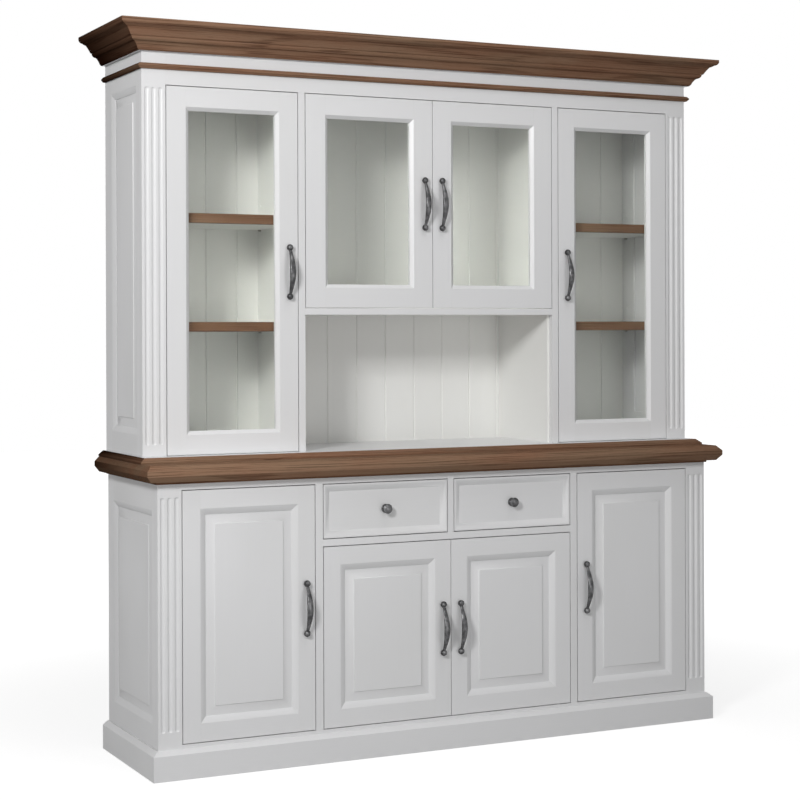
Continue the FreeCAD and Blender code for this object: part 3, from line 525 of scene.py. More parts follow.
@dataclass(frozen=True)
class AgedPewter:
    """Zinc castings plated dark and rubbed back, sold as antique pewter.

    Dark grey metal with a soft shine, mottled where the dark plating is rubbed thin, and with
    the slightly uneven skin of a casting.
    """

    name: str = "aged_pewter"
    slot: Slot = Slot.PEWTER
    dark: str = "#414142"
    rubbed: str = "#666667"
    dull: float = 0.4
    polished: float = 0.33
    mottle: Blobs = Blobs(14.0, 14.0, 3.0)
    rubbed_range: Point = (0.35, 0.7)
    gloss_range: Point = (0.3, 0.7)
    skin: Blobs = Blobs(5.0, 5.0)
    relief_mm: float = 0.08
    relief_strength: float = 0.5

    def build(self) -> bpy.types.Material:
        """Make the pewter.

        Returns:
            The material.
        """
        material, tree = begin(self.name)
        place = add(tree, "ShaderNodeTexCoord").outputs["Object"]
        mottle = self.mottle.lay(tree, place)
        skin = self.skin.lay(tree, place)
        share = add(tree, RANGE, (mottle, *self.rubbed_range), **SOFT)
        colour = add(tree, MIX, {SHARE: share, BELOW: linear(self.dark),
                                 ABOVE: linear(self.rubbed)}, **COLOURS)
        gloss = add(tree, RANGE, (mottle, *self.gloss_range, self.dull, self.polished), **SOFT)
        bump = add(tree, BUMP, {"Height": skin, "Distance": self.relief_mm * MM,
                                "Strength": self.relief_strength})
        shader = add(tree, PRINCIPLED, {"Base Color": colour, "Metallic": 1.0,
                                        "Roughness": gloss, "Normal": bump})
        add(tree, "ShaderNodeOutputMaterial", {"Surface": shader})
        return material


@dataclass(frozen=True)
class NickelPlate:
    """Pressed steel, nickel plated, with the fine lines of rolling under the plate."""

    name: str = "nickel_plated_steel"
    slot: Slot = Slot.STEEL
    base: str = "#C6C4BF"
    line: str = "#8F8D89"
    line_share: float = 0.2
    polished: float = 0.22
    dull: float = 0.34
    lines: Blobs = Blobs(40.0, 0.5)
    line_range: Point = (0.3, 0.7)

    def build(self) -> bpy.types.Material:
        """Make the plated steel.

        Returns:
            The material.
        """
        material, tree = begin(self.name)
        place = add(tree, "ShaderNodeTexCoord").outputs["Object"]
        lines = self.lines.lay(tree, place)
        share = add(tree, RANGE, (lines, *self.line_range, 0.0, self.line_share), **SOFT)
        colour = add(tree, MIX, {SHARE: share, BELOW: linear(self.base),
                                 ABOVE: linear(self.line)}, **COLOURS)
        gloss = add(tree, RANGE, (lines, *self.line_range, self.polished, self.dull), **SOFT)
        shader = add(tree, PRINCIPLED, {"Base Color": colour, "Metallic": 1.0,
                                        "Roughness": gloss})
        add(tree, "ShaderNodeOutputMaterial", {"Surface": shader})
        return material


@dataclass(frozen=True)
class FloatGlass:
    """Four-millimetre float glass: clear, with little shine, and it lets lamps through."""

    name: str = "float_glass"
    slot: Slot = Slot.GLASS
    tint: str = "#EEEFED"
    shine: str = "#404040"
    ior: float = 1.5
    ripple: Blobs = Blobs(180.0, 180.0, 1.0)
    relief_mm: float = 0.05
    relief_strength: float = 0.3

    def build(self) -> bpy.types.Material:
        """Make the glass.

        Returns:
            The material.
        """
        material, tree = begin(self.name)
        place = add(tree, "ShaderNodeTexCoord").outputs["Object"]
        bump = add(tree, BUMP, {"Height": self.ripple.lay(tree, place),
                                "Distance": self.relief_mm * MM,
                                "Strength": self.relief_strength})
        shader = add(tree, PRINCIPLED,
                     {"Base Color": linear(self.tint), "Transmission Weight": 1.0,
                      "Roughness": 0.0, "IOR": self.ior,
                      "Specular Tint": linear(self.shine), "Normal": bump})
        rays = add(tree, "ShaderNodeLightPath")
        clear = add(tree, "ShaderNodeBsdfTransparent", {"Color": linear(self.tint)})
        mix = add(tree, "ShaderNodeMixShader", (rays.outputs["Is Shadow Ray"], shader, clear))
        add(tree, "ShaderNodeOutputMaterial", {"Surface": mix})
        return material


WHITE = SatinLacquer()
# Lighter copy of the white lacquer for the boards inside: painted light that brightens the niche,
# the cupboards behind the glass, the shelves and the backs
LIGHTENED_INSIDE = SatinLacquer(name="satin_lacquer_inside_painted_lighter", base="#F6F6F3", warm="#F3F3F0",
                      board_contrast=0.1)
PINE = StainedPine()
BIRCH = VarnishedBirch()
PEWTER = AgedPewter()
NICKEL = NickelPlate()
GLASS = FloatGlass()


# ---------------------------------------------------------------------------
# Mesh helpers
# ---------------------------------------------------------------------------
def settle(piece: bpy.types.Object, body: str, finish: Finish,
           *nodes: str) -> bpy.types.Object:
    """Hand a finished piece to the frame and report it.

    Args:
        piece: The finished piece, at the origin.
        body: The body it moves with.
        finish: Its finish, which knows the record's slot; not used.
        *nodes: The nodes that it stands for.

    Returns:
        The same piece.
    """
    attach(piece, body)
    if nodes:
        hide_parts(*nodes)
    LOG.info("%s rides on %s, %d vertices", piece.name, body, len(piece.data.vertices))
    return piece


def new_piece(name: str, mesh: bpy.types.Mesh, finish: Finish) -> bpy.types.Object:
    """Put a mesh in the scene with its finish.

    Args:
        name: The piece's name.
        mesh: Its shape, in place.
        finish: The finish all over it.

    Returns:
        The piece.
    """
    mesh.materials.clear()
    mesh.materials.append(material_of(finish))
    piece = bpy.data.objects.new(name, mesh)
    bpy.context.scene.collection.objects.link(piece)
    return piece


def smooth(piece: bpy.types.Object, crease: float = 50.0) -> None:
    """Shade smoothly between creases, with large flat faces kept flat.

    Args:
        piece: The piece to shade.
        crease: Edges that turn by more than this many degrees stay sharp.
    """
    piece.data.shade_smooth()
    piece.data.set_sharp_from_angle(angle=math.radians(crease))
    weighted = piece.modifiers.new("flat_faces", "WEIGHTED_NORMAL")
    weighted.keep_sharp = True


def extent(solid: bmesh.types.BMesh) -> tuple[Vector, Vector]:
    """Find the box round a solid.

    Args:
        solid: The mesh.

    Returns:
        The lowest and the highest corner.
    """
    places = [vertex.co for vertex in solid.verts]
    low = Vector([min(place[axis] for place in places) for axis in range(3)])
    high = Vector([max(place[axis] for place in places) for axis in range(3)])
    return low, high


def closed_solids(node: str, decimals: int = 7) -> Iterator[bmesh.types.BMesh]:
    """Give each closed solid of a node as its own merged mesh with whole flat faces.

    The node's triangles lie solid after solid, and a solid is complete when each of its edges
    has met its opposite.

    Args:
        node: The node's name.
        decimals: What places are rounded to, so that the corners of triangles meet.

    Yields:
        One mesh for each solid, which the caller frees.
    """
    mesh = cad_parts[node].data
    places = [tuple(round(value, decimals) for value in vertex.co)
              for vertex in mesh.vertices]
    open_edges: set[tuple] = set()
    triangles: list[list[tuple]] = []
    for polygon in mesh.polygons:
        corners = [places[index] for index in polygon.vertices]
        triangles.append(corners)
        for first, second in zip(corners, corners[1:] + corners[:1]):
            if (second, first) in open_edges:
                open_edges.remove((second, first))
            else:
                open_edges.add((first, second))
        if not open_edges:
            yield merged(triangles)
            triangles = []
    if triangles:
        yield merged(triangles)


def merged(triangles: Sequence[Sequence[tuple]], flat: float = 0.4) -> bmesh.types.BMesh:
    """Weld triangles into one mesh and join those that lie in one plane.

    Args:
        triangles: Three places for each triangle.
        flat: Faces that turn by less than this many degrees are one face.

    Returns:
        The mesh.
    """
    solid = bmesh.new()
    corners: dict[tuple, bmesh.types.BMVert] = {}
    for triangle in triangles:
        for place in triangle:
            if place not in corners:
                corners[place] = solid.verts.new(place)
        face = [corners[place] for place in triangle]
        if len(set(face)) == 3 and solid.faces.get(face) is None:
            solid.faces.new(face)
    bmesh.ops.dissolve_limit(solid, angle_limit=math.radians(flat), verts=solid.verts[:],
                             edges=solid.edges[:])
    return solid


def ease(solid: bmesh.types.BMesh, arris: float, shortest: float = 16.0 * MM,
         sharp: float = 25.0) -> None:
    """Round the long sharp edges of a solid a little, as sanding does.

    Args:
        solid: The mesh, changed in place.
        arris: Width of the rounding in metres.
        shortest: Edges shorter than this stay as they are.
        sharp: Edges that turn by more than this many degrees are rounded.
    """
    edges = []
    for edge in solid.edges:
        if len(edge.link_faces) != 2 or edge.calc_length() < shortest:
            continue
        if edge.calc_face_angle() > math.radians(sharp):
            edges.append(edge)
    if edges:
        bmesh.ops.bevel(solid, geom=edges, offset=arris, segments=2, profile=0.5,
                        affect="EDGES", clamp_overlap=True)


def round_slopes(solid: bmesh.types.BMesh, strips: int = 5, bend: float = 1.3,
                 lean: float = 0.8944, play: float = 0.004,
                 lowest: float = 5.0 * MM) -> None:
    """Turn each flat slope of a sunk edge into a round one that steepens on its way in.

    Args:
        solid: The mesh, changed in place.
        strips: How many flat strips a slope is cut into.
        bend: Power of the fall, where one keeps it flat.
        lean: Share of a slope's normal along the face it starts from.  These fall one in two.
        play: How far that share may be off.
        lowest: Slopes that fall less than this in metres stay flat.
    """
    solid.normal_update()
    slopes = []
    for face in solid.faces:
        axis = max(range(3), key=lambda index: abs(face.normal[index]))
        if abs(abs(face.normal[axis]) - lean) > play:
            continue
        ends = [edge for edge in face.edges
                if abs(edge.verts[0].co[axis] - edge.verts[1].co[axis]) > lowest]
        if len(ends) == 2:
            slopes.append((ends, axis, math.copysign(1.0, face.normal[axis])))
    cuts: dict[bmesh.types.BMEdge, list] = {}
    for ends, axis, way in slopes:
        for edge in ends:
            if edge in cuts:
                continue
            brow, foot = sorted(edge.verts, key=lambda vertex: -way * vertex.co[axis])
            fall = abs(brow.co[axis] - foot.co[axis])
            cuts[edge] = []
            for left in range(strips, 1, -1):
                _, brow = bmesh.utils.edge_split(edge, brow, 1.0 / left)
                share = (strips - left + 1) / strips
                cuts[edge].append((brow, axis, way * fall * (share - share ** bend)))
    for ends, _, _ in slopes:
        for first, second in zip(cuts[ends[0]], cuts[ends[1]]):
            shared = [face for face in first[0].link_faces if second[0] in face.verts[:]]
            if shared:
                bmesh.utils.face_split(shared[0], first[0], second[0])
    for line in cuts.values():
        for vertex, axis, lift in line:
            vertex.co[axis] += lift


class BoardMesh:
    """Collects solids into one mesh and gives each board its own grain.

    The grain runs along the longest side of each board.  The attribute "grain" holds the place
    on the board, along it first, and "board" a number that is the same all over one board.
    A third attribute says how dark a place is made: most on end grain, which takes the stain
    deeper, and on boards that run from front to back, where it is painted shade; painted shade
    also makes it rise towards the back and towards the right-hand end.
    """

    # Where a board was sawn from its log, in metres along, across and through it
    SAWN_FROM = ((0.0, 9.0), (0.01, 0.06), (0.015, 0.05))
    # Painted shade: the darkening at the front is this share of that at the back, and it rises by
    # the next number towards the right-hand end
    STAIN_AND_SHADE_IN_FRONT = 0.5
    PAINTED_SHADE_TO_THE_RIGHT = 0.24

    def __init__(self, name: str, least: float = 0.0) -> None:
        """Start an empty mesh whose boards differ by the mesh's name.

        Args:
            name: The mesh's name.
            least: How deep the boards take stain and painted shade everywhere, from 0 to 1.
        """
        self.name = name
        self.least = least
        self.chance = random.Random(zlib.crc32(name.encode()))
        self.places: list[Vector] = []
        self.faces: list[list[int]] = []
        self.grain: list[float] = []
        self.board: list[float] = []
        self.thirst: list[float] = []

    def take(self, solid: bmesh.types.BMesh) -> None:
        """Add one solid as one board and free it.

        Args:
            solid: The board's mesh.
        """
        solid.verts.index_update()
        solid.normal_update()
        first = len(self.places)
        low, high = extent(solid)
        order = sorted(range(3), key=lambda axis: low[axis] - high[axis])
        starts = [self.chance.uniform(*span) for span in self.SAWN_FROM]
        tone = self.chance.random()
        for vertex in solid.verts:
            self.places.append(vertex.co.copy())
            self.board.append(tone)
            for axis, start in zip(order, starts):
                self.grain.append(vertex.co[axis] - low[axis] + start)
        along = order[0]
        # painted shade: boards that run from front to back get the full darkening all over
        turned = 1.0 if along == 1 else self.least
        behind = 1.0 - self.STAIN_AND_SHADE_IN_FRONT
        for face in solid.faces:
            self.faces.append([first + vertex.index for vertex in face.verts])
            depth = max(turned, face.normal[along] ** 2)
            for vertex in face.verts:
                back = (vertex.co.y - low.y) / (high.y - low.y)
                right = (vertex.co.x - low.x) / (high.x - low.x)
                self.thirst.append(depth * (self.STAIN_AND_SHADE_IN_FRONT + behind * back)
                                   + self.PAINTED_SHADE_TO_THE_RIGHT * right)
        solid.free()

    def finish(self, finish: Finish) -> bpy.types.Object:
        """Turn the boards into a piece.

        Args:
            finish: The finish that all of them have.

        Returns:
            The piece, smooth shaded.
        """
        mesh = bpy.data.meshes.new(self.name)
        mesh.from_pydata(self.places, [], self.faces)
        for label, kind, domain, key, values in (
                ("grain", "FLOAT_VECTOR", "POINT", "vector", self.grain),
                ("board", "FLOAT", "POINT", "value", self.board),
                ("thirst", "FLOAT", "CORNER", "value", self.thirst)):
            mesh.attributes.new(label, kind, domain).data.foreach_set(key, values)
        piece = new_piece(self.name, mesh, finish)
        smooth(piece)
        return piece


@dataclass
class Joinery:
    """A node of boards or pressed parts, copied with its edges eased and dressed.

    Attributes:
        node: The node that the piece stands for.
        body: The body it moves with.
        finish: Its finish.
        arris: Width of the eased edges in metres.
        shortest: Edges shorter than this stay sharp.
        rounded: Whether its sunk slopes are round.
        film: How much the lacquer builds up on its outer edges in metres.
    """

    node: str
    body: str = CARCASS
    finish: Finish = WHITE
    arris: float = 0.6 * MM
    shortest: float = 16.0 * MM
    rounded: bool = False
    film: float = 0.0

    def coat(self, solid: bmesh.types.BMesh) -> None:
        """Widen and heighten a solid by its share of the film.

        Args:
            solid: The mesh, changed in place.
        """
        low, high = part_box(self.node)
        middle = (low + high) / 2.0
        for axis in (0, 2):
            growth = 2.0 * self.film / (high[axis] - low[axis])
            for vertex in solid.verts:
                vertex.co[axis] += (vertex.co[axis] - middle[axis]) * growth

    def build(self) -> bpy.types.Object:
        """Make the eased copy and hand it over.

        Returns:
            The piece.
        """
        boards = BoardMesh(self.node + "_dressed")
        for solid in closed_solids(self.node):
            self.coat(solid)
            if self.rounded:
                round_slopes(solid)
            ease(solid, self.arris, self.shortest)
            boards.take(solid)
        return settle(boards.finish(self.finish), self.body, self.finish, self.node)


# ---------------------------------------------------------------------------
# Geometry Nodes
# ---------------------------------------------------------------------------
TREES: dict[str, bpy.types.NodeTree] = {}


@dataclass(frozen=True)
class Arc:
    """A round stretch of a profile to a point, bulging out by a share of its chord."""

    end: Point
    bulge: float
    steps: int = 10


def outline(start: Point, steps: Sequence[Point | Arc]) -> list[Point]:
    """Points of a moulding's profile.

    Args:
        start: First point, outward and upward.
        steps: Straight steps as points, round ones as arcs.

    Returns:
        All points in order.
    """
    points = [start]
    for step in steps:
        if not isinstance(step, Arc):
            points.append(step)
            continue
        begin_at = Vector(points[-1])
        end = Vector(step.end)
        chord = end - begin_at
        rise = chord.length * step.bulge
        side = Vector((chord.y, -chord.x)).normalized()
        radius = (chord.length_squared / 4.0 + rise * rise) / (2.0 * abs(rise))
        sign = math.copysign(1.0, rise)
        centre = (begin_at + end) / 2.0 + side * (rise - sign * radius)
        first = begin_at - centre
        turn = first.angle_signed(end - centre)
        for index in range(1, step.steps + 1):
            place = first.copy()
            place.rotate(Matrix.Rotation(-turn * index / step.steps, 2))
            points.append(tuple(centre + place))
    return points


def socket_id(tree: bpy.types.NodeTree, name: str) -> str:
    """Find the identifier of a tree's input by its name.

    Args:
        tree: The Geometry Nodes tree.
        name: The input's name.

    Returns:
        The identifier that a modifier knows it by.
    """
    for item in tree.interface.items_tree:
        if item.item_type == "SOCKET" and item.in_out == "INPUT" and item.name == name:
            return item.identifier
    raise KeyError(name)


def start_tree(name: str, *sizes: str) -> tuple[bpy.types.NodeTree, bpy.types.Node]:
    """Begin a Geometry Nodes tree that takes a geometry, some sizes and a finish.

    Args:
        name: The tree's name.
        *sizes: Name of each size.

    Returns:
        The tree and its input node.
    """
    tree = bpy.data.node_groups.new(name, "GeometryNodeTree")
    kinds = {"Geometry": "NodeSocketGeometry", **dict.fromkeys(sizes, "NodeSocketFloat"),
             "Finish": "NodeSocketMaterial"}
    for label, kind in kinds.items():
        tree.interface.new_socket(label, in_out="INPUT", socket_type=kind)
    tree.interface.new_socket("Geometry", in_out="OUTPUT", socket_type="NodeSocketGeometry")
    return tree, add(tree, "NodeGroupInput")


def end_tree(tree: bpy.types.NodeTree, geometry: bpy.types.Node,
             finish: bpy.types.NodeSocket) -> None:
    """Close a tree with real geometry that has its finish.

    Args:
        tree: The Geometry Nodes tree.
        geometry: The last node of the shape.
        finish: The material.
    """
    real = add(tree, "GeometryNodeRealizeInstances", (geometry,))
    dressed = add(tree, "GeometryNodeSetMaterial", {"Geometry": real, "Material": finish})
    add(tree, "NodeGroupOutput", (dressed,))


def grow(name: str, mesh: bpy.types.Mesh, tree: bpy.types.NodeTree,
         values: dict[str, object]) -> bpy.types.Mesh:
    """Run a tree on a mesh and give the result as a plain mesh.

    Args:
        name: Name of the result.
        mesh: What the tree starts from.
        tree: The Geometry Nodes tree.
        values: Input name to value.

    Returns:
        The plain mesh.
    """
    seed = bpy.data.objects.new(name + "_seed", mesh)
    bpy.context.scene.collection.objects.link(seed)
    modifier = seed.modifiers.new("grow", "NODES")
    modifier.node_group = tree
    for label, value in values.items():
        modifier[socket_id(tree, label)] = value
    graph = bpy.context.evaluated_depsgraph_get()
    result = bpy.data.meshes.new_from_object(seed.evaluated_get(graph), depsgraph=graph)
    seed.modifiers.remove(modifier)
    bpy.data.objects.remove(seed)
    result.name = name
    return result


def moulding_tree() -> bpy.types.NodeTree:
    """Make the tree that runs a profile along a side and cuts each end to its mitre.

    The profile is one face in the plane x = 0, outward along -Y.  A mitre of 1 lengthens the
    run by as much as a point stands out, and 0 is a square end.

    Returns:
        The tree.
    """
    tree, group = start_tree("moulding_run", "Length", "Start Mitre", "End Mitre")
    profile = group.outputs["Geometry"]
    length = group.outputs["Length"]
    along = add(tree, "ShaderNodeCombineXYZ", (1.0,))
    swept = add(tree, "GeometryNodeExtrudeMesh",
                {"Mesh": profile, "Offset": along, "Offset Scale": length,
                 "Individual": False}, mode="FACES")
    cap = add(tree, "GeometryNodeFlipFaces", {"Mesh": profile})
    whole = add(tree, "GeometryNodeJoinGeometry", ([swept, cap],))
    welded = add(tree, "GeometryNodeMergeByDistance", {"Geometry": whole, "Distance": WELD})
    place = add(tree, "ShaderNodeSeparateXYZ", (add(tree, "GeometryNodeInputPosition"),))
    half = add(tree, MATHS, (length, 0.5), operation="MULTIPLY")
    far = add(tree, MATHS, (place, half), operation="GREATER_THAN")
    near = add(tree, MATHS, (1.0, far), operation="SUBTRACT")
    end = add(tree, MATHS, (far, group.outputs["End Mitre"]), operation="MULTIPLY")
    end = add(tree, MATHS, (end, -1.0), operation="MULTIPLY")
    mitre = add(tree, MATHS, (near, group.outputs["Start Mitre"], end),
                operation="MULTIPLY_ADD")
    shift = add(tree, MATHS, (mitre, place.outputs["Y"]), operation="MULTIPLY")
    offset = add(tree, "ShaderNodeCombineXYZ", (shift,))
    cut = add(tree, "GeometryNodeSetPosition", {"Geometry": welded, "Offset": offset})
    end_tree(tree, cut, group.outputs["Finish"])
    return tree


def screw_tree(sides: int = 20, crown: float = 0.62, slot: float = 1.15,
               depth: float = 1.1) -> bpy.types.NodeTree:
    """Make the tree that sets a cross-recessed screw head on each point, along its "facing".

    Args:
        sides: Number of sides of a head.
        crown: Width of a head's top, as a share of the head's.
        slot: Length of each bar of the recess, as a share of the head's radius.
        depth: Height of those bars, as a share of the head's height.

    Returns:
        The tree.
    """
    tree, group = start_tree("screw_heads", "Head Diameter", "Head Height", "Recess Width")
    height = group.outputs["Head Height"]
    width = group.outputs["Recess Width"]
    radius = add(tree, MATHS, (group.outputs["Head Diameter"], 0.5), operation="MULTIPLY")
    top = add(tree, MATHS, (radius, crown), operation="MULTIPLY")
    head = add(tree, "GeometryNodeMeshCone", {"Vertices": sides, "Radius Top": top,
                                              "Radius Bottom": radius, "Depth": height})
    length = add(tree, MATHS, (radius, slot), operation="MULTIPLY")
    deep = add(tree, MATHS, (height, depth), operation="MULTIPLY")
    bars = []
    for across, up in ((length, width), (width, length)):
        size = add(tree, "ShaderNodeCombineXYZ", (across, up, deep))
        bars.append(add(tree, "GeometryNodeMeshCube", {"Size": size}))
    recess = add(tree, "GeometryNodeJoinGeometry", (bars,))
    lift = add(tree, "ShaderNodeCombineXYZ", {"Z": height})
    raised = add(tree, "GeometryNodeTransform", {"Geometry": recess, "Translation": lift})
    drive = add(tree, "GeometryNodeMeshBoolean", (head, raised), operation="DIFFERENCE")
    facing = add(tree, "GeometryNodeInputNamedAttribute", {"Name": "facing"},
                 data_type="FLOAT_VECTOR")
    turned = add(tree, "FunctionNodeAlignRotationToVector", {"Vector": facing}, axis="Z")
    heads = add(tree, "GeometryNodeInstanceOnPoints",
                {"Points": group.outputs["Geometry"], "Instance": drive, "Rotation": turned})
    end_tree(tree, heads, group.outputs["Finish"])
    return tree


@dataclass
class Moulding:
    """A moulding that runs round the front and both ends, mitred at the front corners.

    Attributes:
        node: The node it stands for.
        profile: Points of its section, outward and upward in metres.
        half: Half the width of what it runs round.
        front: The front plane of what it runs round.
        back: Where the side runs end.
        finish: Its finish.
        body: The body it moves with.
    """

    node: str
    profile: Sequence[Point]
    half: float
    front: float
    back: float
    finish: Finish = PINE
    body: str = CARCASS

    def run(self, name: str, length: float, start: float, end: float,
            place: Matrix) -> bpy.types.Mesh:
        """Sweep one run and put it in place.

        Args:
            name: Name of the run.
            length: Length on the inside of the mitres.
            start: Mitre of the near end, 0 or 1.
            end: Mitre of the far end, 0 or 1.
            place: Where the run goes.

        Returns:
            The run's mesh.
        """
        section = bpy.data.meshes.new(name + "_section")
        points = [(0.0, -out, up) for out, up in self.profile]
        section.from_pydata(points, [], [list(range(len(points)))])
        mesh = grow(name, section, TREES["moulding"], {
            "Length": length, "Start Mitre": start, "End Mitre": end,
            "Finish": material_of(self.finish)})
        mesh.transform(place)
        return mesh

    def build(self) -> bpy.types.Object:
        """Sweep the three runs and join them as one piece.

        Returns:
            The piece.
        """
        front_place = Matrix.Translation((-self.half, self.front, 0.0))
        quarter = Matrix.Rotation(math.radians(-90.0), 4, "Z")
        left_place = Matrix.Translation((-self.half, self.back, 0.0)) @ quarter
        front = self.run("front", 2.0 * self.half, 1.0, 1.0, front_place)
        left = self.run("left", self.back - self.front, 0.0, 1.0, left_place)
        right = left.copy()
        right.transform(Matrix.Scale(-1.0, 4, (1.0, 0.0, 0.0)))
        boards = BoardMesh(self.node + "_dressed")
        for mesh in (front, left, right):
            solid = bmesh.new()
            solid.from_mesh(mesh)
            bmesh.ops.remove_doubles(solid, verts=solid.verts[:], dist=WELD)
            bmesh.ops.recalc_face_normals(solid, faces=solid.faces[:])
            boards.take(solid)
        return settle(boards.finish(self.finish), self.body, self.finish, self.node)


@dataclass
class ScrewSet:
    """Screw heads on one body.

    Attributes:
        name: The piece's name.
        body: The body it moves with.
        seats: Foot of each head.
        facing: The way that all of them face.
        diameter: Width of a head in metres.
        height_share: Height of a head, as a share of its width.
        recess_share: Width of the recess's bars, as a share of the head's.
        crease: Edges that turn by more than this many degrees stay sharp.
    """

    name: str
    body: str
    seats: Sequence[Vector]
    facing: Vector
    diameter: float = 7.0 * MM
    height_share: float = 0.3
    recess_share: float = 0.16
    crease: float = 30.0

    def build(self) -> bpy.types.Object:
        """Set the heads and hand them over.

        Returns:
            The piece.
        """
        points = bpy.data.meshes.new(self.name + "_points")
        points.from_pydata(self.seats, [], [])
        facing = points.attributes.new("facing", "FLOAT_VECTOR", "POINT")
        facing.data.foreach_set("vector", list(self.facing) * len(self.seats))
        mesh = grow(self.name, points, TREES["screw"], {
            "Head Diameter": self.diameter, "Head Height": self.diameter * self.height_share,
            "Recess Width": self.diameter * self.recess_share, "Finish": material_of(NICKEL)})
        piece = new_piece(self.name, mesh, NICKEL)
        smooth(piece, self.crease)
        return settle(piece, self.body, NICKEL)


# ---------------------------------------------------------------------------
# Hardware
# ---------------------------------------------------------------------------
def circle(radius: float, around: int) -> list[Point]:
    """Find places round a circle.

    Args:
        radius: The circle's radius.
        around: Number of places.

    Returns:
        The places in order.
    """
    angles = [2.0 * math.pi * index / around for index in range(around)]
    return [(radius * math.cos(angle), radius * math.sin(angle)) for angle in angles]


def lathe(profile: Sequence[Point], centre: Vector, way: Vector,
          around: int) -> bmesh.types.BMesh:
    """Turn a profile round an axis.

    Args:
        profile: Radius and height of each point, the ends on the axis.
        centre: Foot of the axis.
        way: Direction of the axis.
        around: Number of sides.

    Returns:
        The closed mesh.
    """
    solid = bmesh.new()
    turn = way.to_track_quat("Z", "Y").to_matrix().to_4x4()
    place = Matrix.Translation(centre) @ turn
    rings = []
    for radius, height in profile:
        spots = circle(radius, around if radius > WELD else 1)
        rings.append([solid.verts.new(place @ Vector((*spot, height))) for spot in spots])
    skin(solid, rings)
    return solid


def skin(solid: bmesh.types.BMesh, rings: Sequence[Sequence[bmesh.types.BMVert]]) -> None:
    """Join a row of rings.

    Args:
        solid: The mesh that the rings are in, changed in place.
        rings: The corners of each ring, where a ring of one is a pole.
    """
    for lower, upper in zip(rings, rings[1:]):
        count = max(len(lower), len(upper))
        for index in range(count):
            after = (index + 1) % count
            face = [lower[index % len(lower)], lower[after % len(lower)],
                    upper[after % len(upper)], upper[index % len(upper)]]
            corners = list(dict.fromkeys(face))
            if len(corners) >= 3:
                solid.faces.new(corners)
    bmesh.ops.recalc_face_normals(solid, faces=solid.faces[:])


